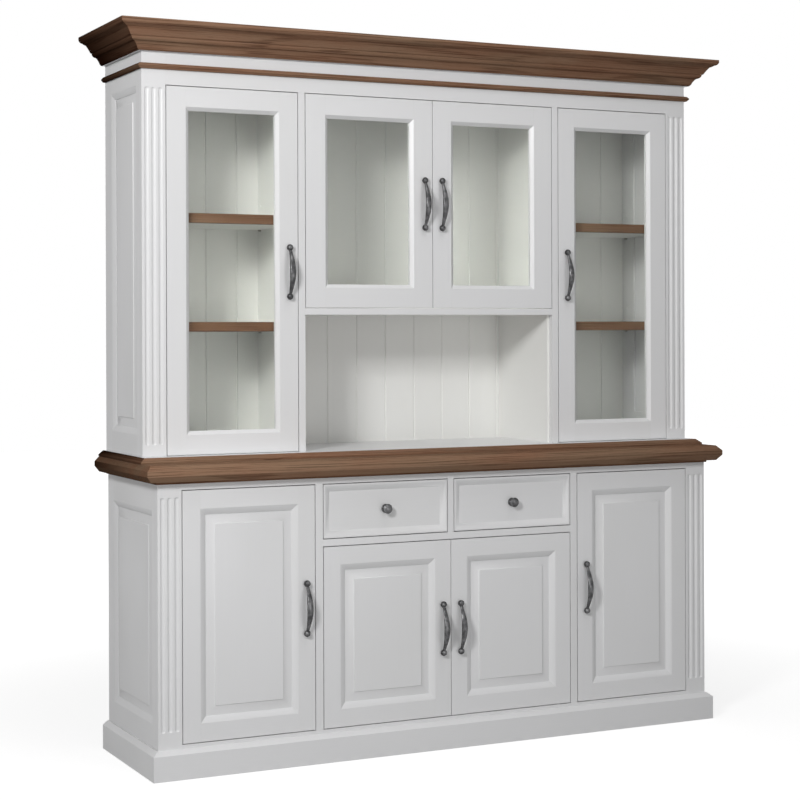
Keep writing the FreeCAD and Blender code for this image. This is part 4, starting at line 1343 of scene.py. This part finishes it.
@dataclass
class BowHandle:
    """Cast bow handle: a flattened, swelling bow between two balls with small collars.

    Attributes:
        door: The door's name, which is its body's name too.
        ball: Diameter of the balls.
        sink: How deep a ball is flattened where it meets the door.
        width: Width of the bow at its middle.
        depth: Thickness of the bow at its middle.
        neck: Thickness where the bow meets its collars.
        slack: Room left between the bow and the front of the plain solid.
        crown_share: How much of the rest the bow stands out.
        arch: Power of the bow's middle line, where one is a parabola.
        swell_powers: Powers of the growth of its section towards the middle.
        collar_gap: From a ball to the middle of its collar.
        collar_half: Half a collar's thickness.
        collar_lip: How far a collar stands out from the neck.
        rings: Number of stretches along the bow.
        around: Number of sides of its section.
        ball_sides: Number of sides of a ball, round it and from pole to pole.
        collar_steps: Number of steps over a collar's round edge.
    """

    door: str
    ball: float = 20.0 * MM
    sink: float = 0.5 * MM
    width: float = 20.0 * MM
    depth: float = 12.5 * MM
    neck: float = 8.0 * MM
    slack: float = 1.4 * MM
    crown_share: float = 0.92
    arch: float = 1.3
    swell_powers: Point = (1.7, 1.3)
    collar_gap: float = 1.6 * MM
    collar_half: float = 1.5 * MM
    collar_lip: float = 1.3 * MM
    rings: int = 44
    around: int = 24
    ball_sides: tuple[int, int] = (28, 18)
    collar_steps: int = 8

    def build(self) -> bpy.types.Object:
        """Cast the handle and hand it over.

        Returns:
            The piece.
        """
        node = self.door + "_handle"
        low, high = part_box(node)
        middle = (low + high) / 2.0
        half = (high.z - low.z) / 2.0 - self.ball / 2.0
        seat = self.ball / 2.0 - self.sink
        room = high.y - low.y - self.depth / 2.0 - seat - self.slack
        crown = room * self.crown_share
        centre = Vector((middle.x, high.y - seat, middle.z))
        boards = BoardMesh(node + "_cast")
        boards.take(self.bow(centre, half, crown))
        for side in (-1.0, 1.0):
            place = Vector((middle.x, high.y - seat, middle.z + side * half))
            boards.take(self.foot(place))
            boards.take(self.collar(place, side, half, crown))
        return settle(boards.finish(PEWTER), self.door, PEWTER, node)

    def bow(self, centre: Vector, half: float, crown: float) -> bmesh.types.BMesh:
        """Sweep the oval bow from ball to ball.

        Args:
            centre: Point midway between the balls.
            half: Half the distance between the balls.
            crown: How far the bow stands out from the balls.

        Returns:
            The closed mesh.
        """
        solid = bmesh.new()
        rings = []
        for index in range(self.rings + 1):
            share = 2.0 * index / self.rings - 1.0
            out, slope = self.line(share, crown)
            swell = self.swell(share)
            wide = self.neck + (self.width - self.neck) * swell
            thick = self.neck + (self.depth - self.neck) * swell
            tilt = math.atan2(slope, half)
            ring = []
            for side, rise in circle(0.5, self.around):
                rise *= thick
                ring.append(solid.verts.new(centre + Vector((
                    side * wide, -out - rise * math.cos(tilt),
                    share * half + rise * math.sin(tilt)))))
            rings.append(ring)
        for end in (rings[0], rings[-1]):
            solid.faces.new(end)
        skin(solid, rings)
        return solid

    def line(self, share: float, crown: float) -> tuple[float, float]:
        """Follow the bow's middle line.

        Args:
            share: Place along the bow, from -1 to 1.
            crown: How far the bow stands out from the balls.

        Returns:
            How far the line stands out, and its slope.
        """
        flat = 1.0 - share * share
        slope = crown * self.arch * flat ** (self.arch - 1.0) * -2.0 * share
        return crown * flat ** self.arch, slope

    def swell(self, share: float) -> float:
        """How far the bow has swollen to its full section at a share from -1 to 1."""
        inner, outer = self.swell_powers
        return max(0.0, 1.0 - abs(share) ** inner) ** outer

    def foot(self, place: Vector) -> bmesh.types.BMesh:
        """Cast one ball.

        Args:
            place: Its centre.

        Returns:
            The ball, which the door's face cuts flat.
        """
        around, steps = self.ball_sides
        half = self.ball / 2.0
        angles = [math.pi * step / steps for step in range(steps + 1)]
        profile = [(half * math.sin(angle), -half * math.cos(angle)) for angle in angles]
        return lathe(profile, place, Vector((0.0, 0.0, 1.0)), around)

    def collar(self, ball: Vector, side: float, half: float,
               crown: float) -> bmesh.types.BMesh:
        """Small ring where the bow leaves a ball.

        Args:
            ball: Centre of the ball.
            side: 1 for the upper ball and -1 for the lower.
            half: Half the distance between the balls.
            crown: How far the bow stands out.

        Returns:
            The ring as a closed mesh.
        """
        gap = self.ball / 2.0 + self.collar_gap
        out, slope = self.line(1.0 - gap / half, crown)
        place = ball + Vector((0.0, -out, -side * gap))
        way = Vector((0.0, slope, half * side)).normalized()
        thick = self.collar_half
        flat = self.neck / 2.0 + self.collar_lip - thick
        profile = [(0.0, -thick)]
        for step in range(self.collar_steps + 1):
            angle = math.pi * (step / self.collar_steps - 0.5)
            profile.append((flat + thick * math.cos(angle), thick * math.sin(angle)))
        profile.append((0.0, thick))
        return lathe(profile, place, way, self.around)


@dataclass
class TurnedKnob:
    """Turned drawer knob: foot disc, flared neck, rim and a shallow dome with a ring.

    Attributes:
        drawer: The drawer's name, which is its body's name too.
        around: Number of sides.
    """

    drawer: str
    around: int = 40

    def section(self, head: float, length: float) -> list[Point]:
        """Draw the profile that the knob is turned to.

        Args:
            head: Radius of the rim.
            length: How far the knob stands out.

        Returns:
            Radius and height of each point.
        """
        return outline((0.0, 0.0), [
            (head * 0.84, 0.0),                              # foot disc
            Arc((head * 0.84, length * 0.1), 0.3, 6),
            (head * 0.66, length * 0.13),                    # hollow neck
            Arc((head * 0.4, length * 0.34), -0.14, 8),
            Arc((head * 0.72, length * 0.58), -0.12, 8),
            Arc((head, length * 0.72), 0.16, 8),             # rim
            Arc((head * 0.88, length * 0.84), 0.2, 8),
            Arc((head * 0.74, length * 0.86), -0.1, 4),      # ring round the dome
            Arc((0.0, length), 0.09, 12),
        ])

    def build(self) -> bpy.types.Object:
        """Turn the knob and hand it over.

        Returns:
            The piece.
        """
        node = self.drawer + "_knob"
        low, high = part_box(node)
        shape = self.section((high.x - low.x) / 2.0, high.y - low.y)
        middle = (low + high) / 2.0
        foot = Vector((middle.x, high.y, middle.z))
        boards = BoardMesh(node + "_turned")
        boards.take(lathe(shape, foot, Vector((0.0, -1.0, 0.0)), self.around))
        return settle(boards.finish(PEWTER), self.drawer, PEWTER, node)


# ---------------------------------------------------------------------------
# Doors and drawers
# ---------------------------------------------------------------------------
@dataclass
class Door:
    """One hinged door: its frame, what fills it, its handle, hinge cups and screws.

    Attributes:
        hand: Which of the four doors in its row it is.
        part: Whether it belongs to the base or the hutch.
        round_edge: Whether the slope round its opening is round.
        arris: Width of the frame's eased edges.
        film: How much the lacquer builds up on the frame's outer edges.
        cup_arris: Width of the cups' eased edges.
        cup_shortest: Edges of the cups shorter than this stay sharp.
        screw_spread: From the middle of a cup to its flange screws.
        bolt_diameter: Width of a handle bolt's head.
    """

    hand: Hand
    part: str = "base"
    round_edge: bool = False
    arris: float = 0.25 * MM
    film: float = 0.4 * MM
    cup_arris: float = 0.3 * MM
    cup_shortest: float = 5.0 * MM
    screw_spread: float = 24.0 * MM
    bolt_diameter: float = 9.0 * MM

    @property
    def name(self) -> str:
        """The door's name, which is its body's name too."""
        return f"{self.part}_door_{self.hand.value}"

    def build(self) -> None:
        """Dress every piece of the door."""
        name = self.name
        Joinery(name + "_frame", name, arris=self.arris, rounded=self.round_edge,
                film=self.film).build()
        self.fill()
        BowHandle(name).build()
        Joinery(name + "_hinge_cups", name, NICKEL, self.cup_arris, self.cup_shortest).build()
        self.screws()

    def fill(self) -> None:
        """Dress what fills the frame."""
        raise NotImplementedError

    def cups(self) -> list[Vector]:
        """Find the middle of each hinge cup, on its flange.

        Returns:
            One place for each cup.
        """
        places = []
        for solid in closed_solids(self.name + "_hinge_cups"):
            low, high = extent(solid)
            places.append(Vector(((low.x + high.x) / 2.0, high.y, (low.z + high.z) / 2.0)))
            solid.free()
        return places

    def screws(self) -> None:
        """Set the flange screws and the two bolts that hold the handle."""
        name = self.name
        inward = Vector((0.0, 1.0, 0.0))
        ends = (-1.0, 1.0)
        flanges = [cup + Vector((0.0, 0.0, end * self.screw_spread))
                   for cup in self.cups() for end in ends]
        ScrewSet(name + "_flange_screws", name, flanges, inward).build()
        low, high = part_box(name + "_handle")
        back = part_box(name + "_frame")[1].y
        middle = (low + high) / 2.0
        reach = (high.z - low.z) / 2.0 - BowHandle.ball / 2.0
        bolts = [Vector((middle.x, back, middle.z + end * reach)) for end in ends]
        ScrewSet(name + "_handle_bolts", name, bolts, inward, self.bolt_diameter).build()


@dataclass
class PanelDoor(Door):
    """A base door with a raised and fielded panel, its edges eased by panel_arris."""

    round_edge: bool = True
    panel_arris: float = 0.5 * MM

    def fill(self) -> None:
        """Dress the raised panel."""
        Joinery(self.name + "_panel", self.name, arris=self.panel_arris).build()


@dataclass
class GlazedDoor(Door):
    """A hutch door with one pane, its edges eased by pane_arris, behind a sticking."""

    part: str = "hutch"
    pane_arris: float = 0.4 * MM

    def fill(self) -> None:
        """Dress the pane."""
        Joinery(self.name + "_glass", self.name, GLASS, self.pane_arris).build()


@dataclass
class Drawer:
    """One drawer: a front with a sunk field, a birch box and a turned knob.

    Attributes:
        hand: Which of the two drawers it is.
        front_arris: Width of the front's eased edges.
        box_arris: Width of the box's eased edges.
        film: How much the lacquer builds up on the front's outer edges.
    """

    hand: Hand
    front_arris: float = 0.3 * MM
    box_arris: float = 0.8 * MM
    film: float = 0.4 * MM

    @property
    def name(self) -> str:
        """The drawer's name, which is its body's name too."""
        return f"drawer_{self.hand.value}"

    def build(self) -> None:
        """Dress every piece of the drawer."""
        name = self.name
        Joinery(name + "_front", name, arris=self.front_arris, rounded=True,
                film=self.film).build()
        Joinery(name + "_box", name, BIRCH, self.box_arris).build()
        TurnedKnob(name).build()


# ---------------------------------------------------------------------------
# Carcass
# ---------------------------------------------------------------------------
@dataclass
class Base:
    """The base cabinet with its plinth and worktop.

    Attributes:
        boards: Plain boards that keep the usual arris.
        frame_arris: Width of the face frame's eased edges.
        plinth_arris: Width of the plinth's.
        back_arris: Width of those of the back boards.
        worktop_arris: Width of the worktop's.
    """

    boards: Sequence[str] = ("base_side_panels", "base_boards", "base_partitions")
    frame_arris: float = 0.3 * MM
    plinth_arris: float = 0.25 * MM
    back_arris: float = 0.4 * MM
    worktop_arris: float = 1.2 * MM

    def build(self) -> None:
        """Dress the base."""
        for node in self.boards:
            Joinery(node).build()
        Joinery("base_side_frames", rounded=True).build()
        Joinery("base_face_frame", arris=self.frame_arris).build()
        Joinery("base_plinth", arris=self.plinth_arris).build()
        Joinery("base_back", finish=LIGHTENED_INSIDE, arris=self.back_arris).build()
        Joinery("worktop", finish=PINE, arris=self.worktop_arris).build()


@dataclass
class Hutch:
    """The hutch with its board, shelves and mouldings.

    Attributes:
        boards: Plain boards that show on the outside.
        inside: Boards that show through the glass or in the niche.
        mouldings: Brown mouldings that keep the solids' profile.
        frame_arris: Width of the face frame's eased edges.
        inside_arris: Width of those of the boards inside.
        moulding_arris: Width of those of the mouldings.
        shelf_arris: Width of those of the shelves behind their lippings.
        arm_arris: Width of those of the hinge arms.
        arm_shortest: Edges of the arms shorter than this stay sharp.
        lipping: Depth of the pine lipping on the front of each shelf.
        lipping_arris: Width of the lippings' eased edges.
        lipping_stain_and_shade: How deep the lippings take stain and painted shade everywhere.
    """

    boards: Sequence[str] = ("hutch_board", "hutch_side_panels", "hutch_top")
    inside: Sequence[str] = ("hutch_partitions", "hutch_niche_top", "hutch_back")
    mouldings: Sequence[str] = ("hutch_board_moulding", "astragal")
    frame_arris: float = 0.3 * MM
    inside_arris: float = 0.4 * MM
    moulding_arris: float = 0.8 * MM
    shelf_arris: float = 0.3 * MM
    arm_arris: float = 0.5 * MM
    arm_shortest: float = 4.0 * MM
    lipping: float = 20.0 * MM
    lipping_arris: float = 1.6 * MM
    lipping_stain_and_shade: float = 0.55

    def build(self) -> None:
        """Dress the hutch."""
        for node in self.boards:
            Joinery(node).build()
        Joinery("hutch_side_frames", rounded=True).build()
        Joinery("hutch_face_frame", arris=self.frame_arris).build()
        for node in self.inside:
            Joinery(node, finish=LIGHTENED_INSIDE, arris=self.inside_arris).build()
        for node in self.mouldings:
            Joinery(node, finish=PINE, arris=self.moulding_arris).build()
        self.shelves()
        Joinery("shelf_pins", finish=NICKEL, shortest=math.inf).build()
        Joinery("hinge_arms", finish=NICKEL, arris=self.arm_arris,
                shortest=self.arm_shortest).build()
        Cornice().build()

    def shelves(self) -> None:
        """Saw a pine lipping off the front of each shelf, and lacquer the board behind it."""
        boards = BoardMesh("hutch_shelves_dressed")
        lippings = BoardMesh("shelf_lippings", self.lipping_stain_and_shade)
        for board in closed_solids("hutch_shelves"):
            joint = Vector((0.0, extent(board)[0].y + self.lipping, 0.0))
            lipping = board.copy()
            for part, way in ((board, -1.0), (lipping, 1.0)):
                everything = part.verts[:] + part.edges[:] + part.faces[:]
                bmesh.ops.bisect_plane(part, geom=everything, plane_co=joint,
                                       plane_no=Vector((0.0, way, 0.0)), clear_outer=True)
                bmesh.ops.holes_fill(part, edges=part.edges[:])
            ease(board, self.shelf_arris)
            ease(lipping, self.lipping_arris)
            boards.take(board)
            lippings.take(lipping)
        settle(boards.finish(LIGHTENED_INSIDE), CARCASS, LIGHTENED_INSIDE, "hutch_shelves")
        settle(lippings.finish(PINE), CARCASS, PINE)


@dataclass
class Cornice:
    """The crown moulding in its full profile, whose hem laps the edge of the top board.

    Attributes:
        foot: From the face frame out to the lowest member.
        hem: How far the lowest member hangs over the board's edge.
        lap: Room between that member and the edge.
        heel: How far the back of the moulding lies in from the edge.
        heel_rise: Height of the square part of the back.
        top_width: Width of the flat top.
        slack: What it stays behind the plain solid.
    """

    foot: float = 13.0 * MM
    hem: float = 3.6 * MM
    lap: float = 0.1 * MM
    heel: float = 22.0 * MM
    heel_rise: float = 16.0 * MM
    top_width: float = 30.0 * MM
    slack: float = 0.001 * MM

    def build(self) -> bpy.types.Object:
        """Sweep the moulding round the hutch.

        Returns:
            The piece.
        """
        low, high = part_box("cornice")
        face_low, face_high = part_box("hutch_face_frame")
        board_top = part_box("hutch_top")[1]
        half = face_high.x
        reach = high.x - half - self.slack
        edge = board_top.x - half
        rise = high.z - low.z

        def at(out: float, up: float) -> Point:
            """Point of the profile by its shares of the projection and the height."""
            return (self.foot + (reach - self.foot) * out, low.z + rise * up)

        side = edge + self.lap
        hem = low.z - self.hem
        heel = edge - self.heel
        profile = outline((edge, low.z), [
            (side, low.z), (side, hem), (self.foot, hem),           # hem
            at(0.07, 0.02), Arc(at(0.24, 0.25), -0.07),             # first hollow
            at(0.3, 0.26), Arc(at(0.42, 0.41), 0.16),               # round
            at(0.47, 0.42), Arc(at(0.68, 0.7), -0.02),              # long hollow
            at(0.74, 0.715), at(0.84, 0.77),                        # fillets
            Arc((reach, low.z + rise * 0.93), 0.2), (reach, high.z),  # nosing
            (reach - self.top_width, high.z), (heel, board_top.z + self.heel_rise),
            (heel, board_top.z), (edge, board_top.z)])
        return Moulding("cornice", profile, half, face_low.y, high.y).build()


# ---------------------------------------------------------------------------
# Room, light and camera
# ---------------------------------------------------------------------------
@dataclass(frozen=True)
class SoftBox:
    """A rectangular studio lamp, its width and height in metres and its power in watts."""

    name: str
    place: tuple[float, float, float]
    size: Point
    power: float
    aim: tuple[float, float, float] = (0.0, -0.1, 1.1)

    def build(self) -> None:
        """Hang the lamp."""
        data = bpy.data.lights.new(self.name, "AREA")
        data.shape = "RECTANGLE"
        data.size, data.size_y = self.size
        data.energy = self.power
        lamp = bpy.data.objects.new(self.name, data)
        lamp.location = self.place
        way = Vector(self.aim) - Vector(self.place)
        lamp.rotation_euler = way.to_track_quat("-Z", "Y").to_euler()
        bpy.context.scene.collection.objects.link(lamp)


@dataclass(frozen=True)
class Studio:
    """White floor, white surroundings and five soft lamps.

    Attributes:
        lamps: The lamps.
        white: What the camera, metal and glass see.
        ambient_strength: Share of that white that lights the rest.
        floor_base: Colour of the floor itself.
        floor_roughness: How matt it is.
        floor_half: Half its width.
        floor_glow: How white it is made to look near the middle.
        glow_from: Where that starts to rise to full white.
        glow_to: Where it is full white.
    """

    lamps: tuple[SoftBox, ...] = (
        SoftBox("key", (-3.3, -3.0, 2.8), (0.8, 0.8), 100.0),
        SoftBox("front", (-0.6, -4.4, 1.3), (1.0, 1.0), 13.0),
        SoftBox("high", (0.4, -3.8, 3.0), (1.0, 1.0), 10.0),
        SoftBox("top", (0.0, -1.5, 4.2), (1.5, 1.5), 20.0),
        SoftBox("low", (0.5, -4.2, 0.4), (1.2, 0.6), 10.0),
    )
    white: str = "#FFFFFF"
    ambient_strength: float = 0.11
    floor_base: str = "#A6A6A6"
    floor_roughness: float = 0.9
    floor_half: float = 14.0
    floor_glow: float = 0.78
    glow_from: float = 1.0
    glow_to: float = 3.5

    def build(self) -> None:
        """Set up the room."""
        for lamp in self.lamps:
            lamp.build()
        self.surround()
        self.floor()

    def surround(self) -> None:
        """Let the camera, metal and glass see white, and light the rest more softly."""
        world = bpy.data.worlds.new("white_studio")
        bpy.context.scene.world = world
        world.use_nodes = True
        tree = world.node_tree
        tree.nodes.clear()
        white = linear(self.white)
        lit = add(tree, "ShaderNodeBackground",
                  {"Color": white, "Strength": self.ambient_strength})
        shown = add(tree, "ShaderNodeBackground", {"Color": white, "Strength": 1.0})
        mix = add(tree, "ShaderNodeMixShader", (self.seen(tree), lit, shown))
        add(tree, "ShaderNodeOutputWorld", {"Surface": mix})

    @staticmethod
    def seen(tree: bpy.types.NodeTree) -> bpy.types.Node:
        """Tell rays from the camera, and through or off gloss and glass, from the rest.

        Light that has bounced off a dull surface sees the soft light alone, also behind glass.

        Args:
            tree: The node tree to add to.

        Returns:
            A factor that is one for those rays.
        """
        rays = add(tree, "ShaderNodeLightPath").outputs
        gloss = add(tree, MATHS, (rays["Is Glossy Ray"], rays["Is Transmission Ray"]),
                    operation="MAXIMUM")
        shown = add(tree, MATHS, (rays["Is Camera Ray"], gloss), operation="MAXIMUM")
        unspent = add(tree, MATHS, (rays["Diffuse Depth"], 0.5), operation="LESS_THAN")
        return add(tree, MATHS, (shown, unspent), operation="MULTIPLY")

    def floor(self) -> None:
        """Lay a white floor that keeps the dresser's soft shadow."""
        material, tree = begin("matt_white_floor")
        matt = add(tree, PRINCIPLED, {"Base Color": linear(self.floor_base),
                                      "Roughness": self.floor_roughness})
        place = add(tree, "ShaderNodeTexCoord").outputs["Object"]
        away = add(tree, "ShaderNodeVectorMath", (place,), operation="LENGTH")
        reach = add(tree, RANGE, (away, self.glow_from, self.glow_to, self.floor_glow, 1.0),
                    **SOFT)
        strength = add(tree, MATHS, (self.seen(tree), reach), operation="MULTIPLY")
        glow = add(tree, "ShaderNodeEmission",
                   {"Color": linear(self.white), "Strength": strength})
        both = add(tree, "ShaderNodeAddShader", (matt, glow))
        add(tree, "ShaderNodeOutputMaterial", {"Surface": both})
        half = self.floor_half
        corners = [(-half, -half, 0.0), (half, -half, 0.0), (half, half, 0.0),
                   (-half, half, 0.0)]
        mesh = bpy.data.meshes.new("studio_floor")
        mesh.from_pydata(corners, [], [[0, 1, 2, 3]])
        mesh.materials.append(material)
        floor = bpy.data.objects.new("studio_floor", mesh)
        bpy.context.scene.collection.objects.link(floor)
        floor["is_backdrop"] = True


@dataclass(frozen=True)
class Viewpoint:
    """Where the camera stands: about 26 degrees left of the front, at chest height.

    Attributes:
        place: Its place in metres.
        turn: How far it turns to the right of straight on, in radians.
        pitch: How far it looks up, in radians.
        roll: How far it leans, in radians.
        focal_px: Focal length in pixels of the frame.
        horizon_px: Row of the frame that the horizon lies on.
        frame_px: Width and height of the frame in pixels.
        sensor_mm: Width of its sensor.
    """

    place: tuple[float, float, float] = (-2.64236, -5.25842, 1.29865)
    turn: float = 0.455287
    pitch: float = -0.0013347
    roll: float = -0.0032624
    focal_px: float = 1832.91
    horizon_px: float = 331.648
    frame_px: float = 800.0
    sensor_mm: float = 36.0

    def build(self) -> None:
        """Set up the camera."""
        data = bpy.data.cameras.new("camera")
        data.sensor_width = self.sensor_mm
        data.lens = self.focal_px / self.frame_px * data.sensor_width
        data.shift_y = (self.horizon_px - self.frame_px / 2.0) / self.frame_px
        camera = bpy.data.objects.new("camera", data)
        ahead = Vector((math.sin(self.turn) * math.cos(self.pitch),
                        math.cos(self.turn) * math.cos(self.pitch), math.sin(self.pitch)))
        right = Vector((math.cos(self.turn), -math.sin(self.turn), 0.0))
        up = right.cross(ahead)
        tilted = right * math.cos(self.roll) + up * math.sin(self.roll)
        up = up * math.cos(self.roll) - right * math.sin(self.roll)
        turn = Matrix((tilted, up, -ahead)).transposed().to_4x4()
        camera.matrix_world = Matrix.Translation(self.place) @ turn
        bpy.context.scene.collection.objects.link(camera)
        bpy.context.scene.camera = camera


def write_sizes() -> None:
    """Gather the model's box and the dressed box side by side."""
    boxes = {"cad": CAD_BOX, "visual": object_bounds()}
    sizes = {name: [list(corner) for corner in box] for name, box in boxes.items()}


def main() -> None:
    """Dress the dresser from the floor up, then light it."""
    logging.basicConfig(level=logging.INFO, format="%(name)s: %(message)s")
    bpy.context.scene.view_settings.view_transform = "Standard"
    TREES["moulding"] = moulding_tree()
    TREES["screw"] = screw_tree()
    Base().build()
    Hutch().build()
    for hand in Hand:
        PanelDoor(hand).build()
        GlazedDoor(hand).build()
    for hand in (Hand.LEFT, Hand.RIGHT):
        Drawer(hand).build()
    Studio().build()
    Viewpoint().build()
    write_sizes()


if __name__ == "__main__":
    main()
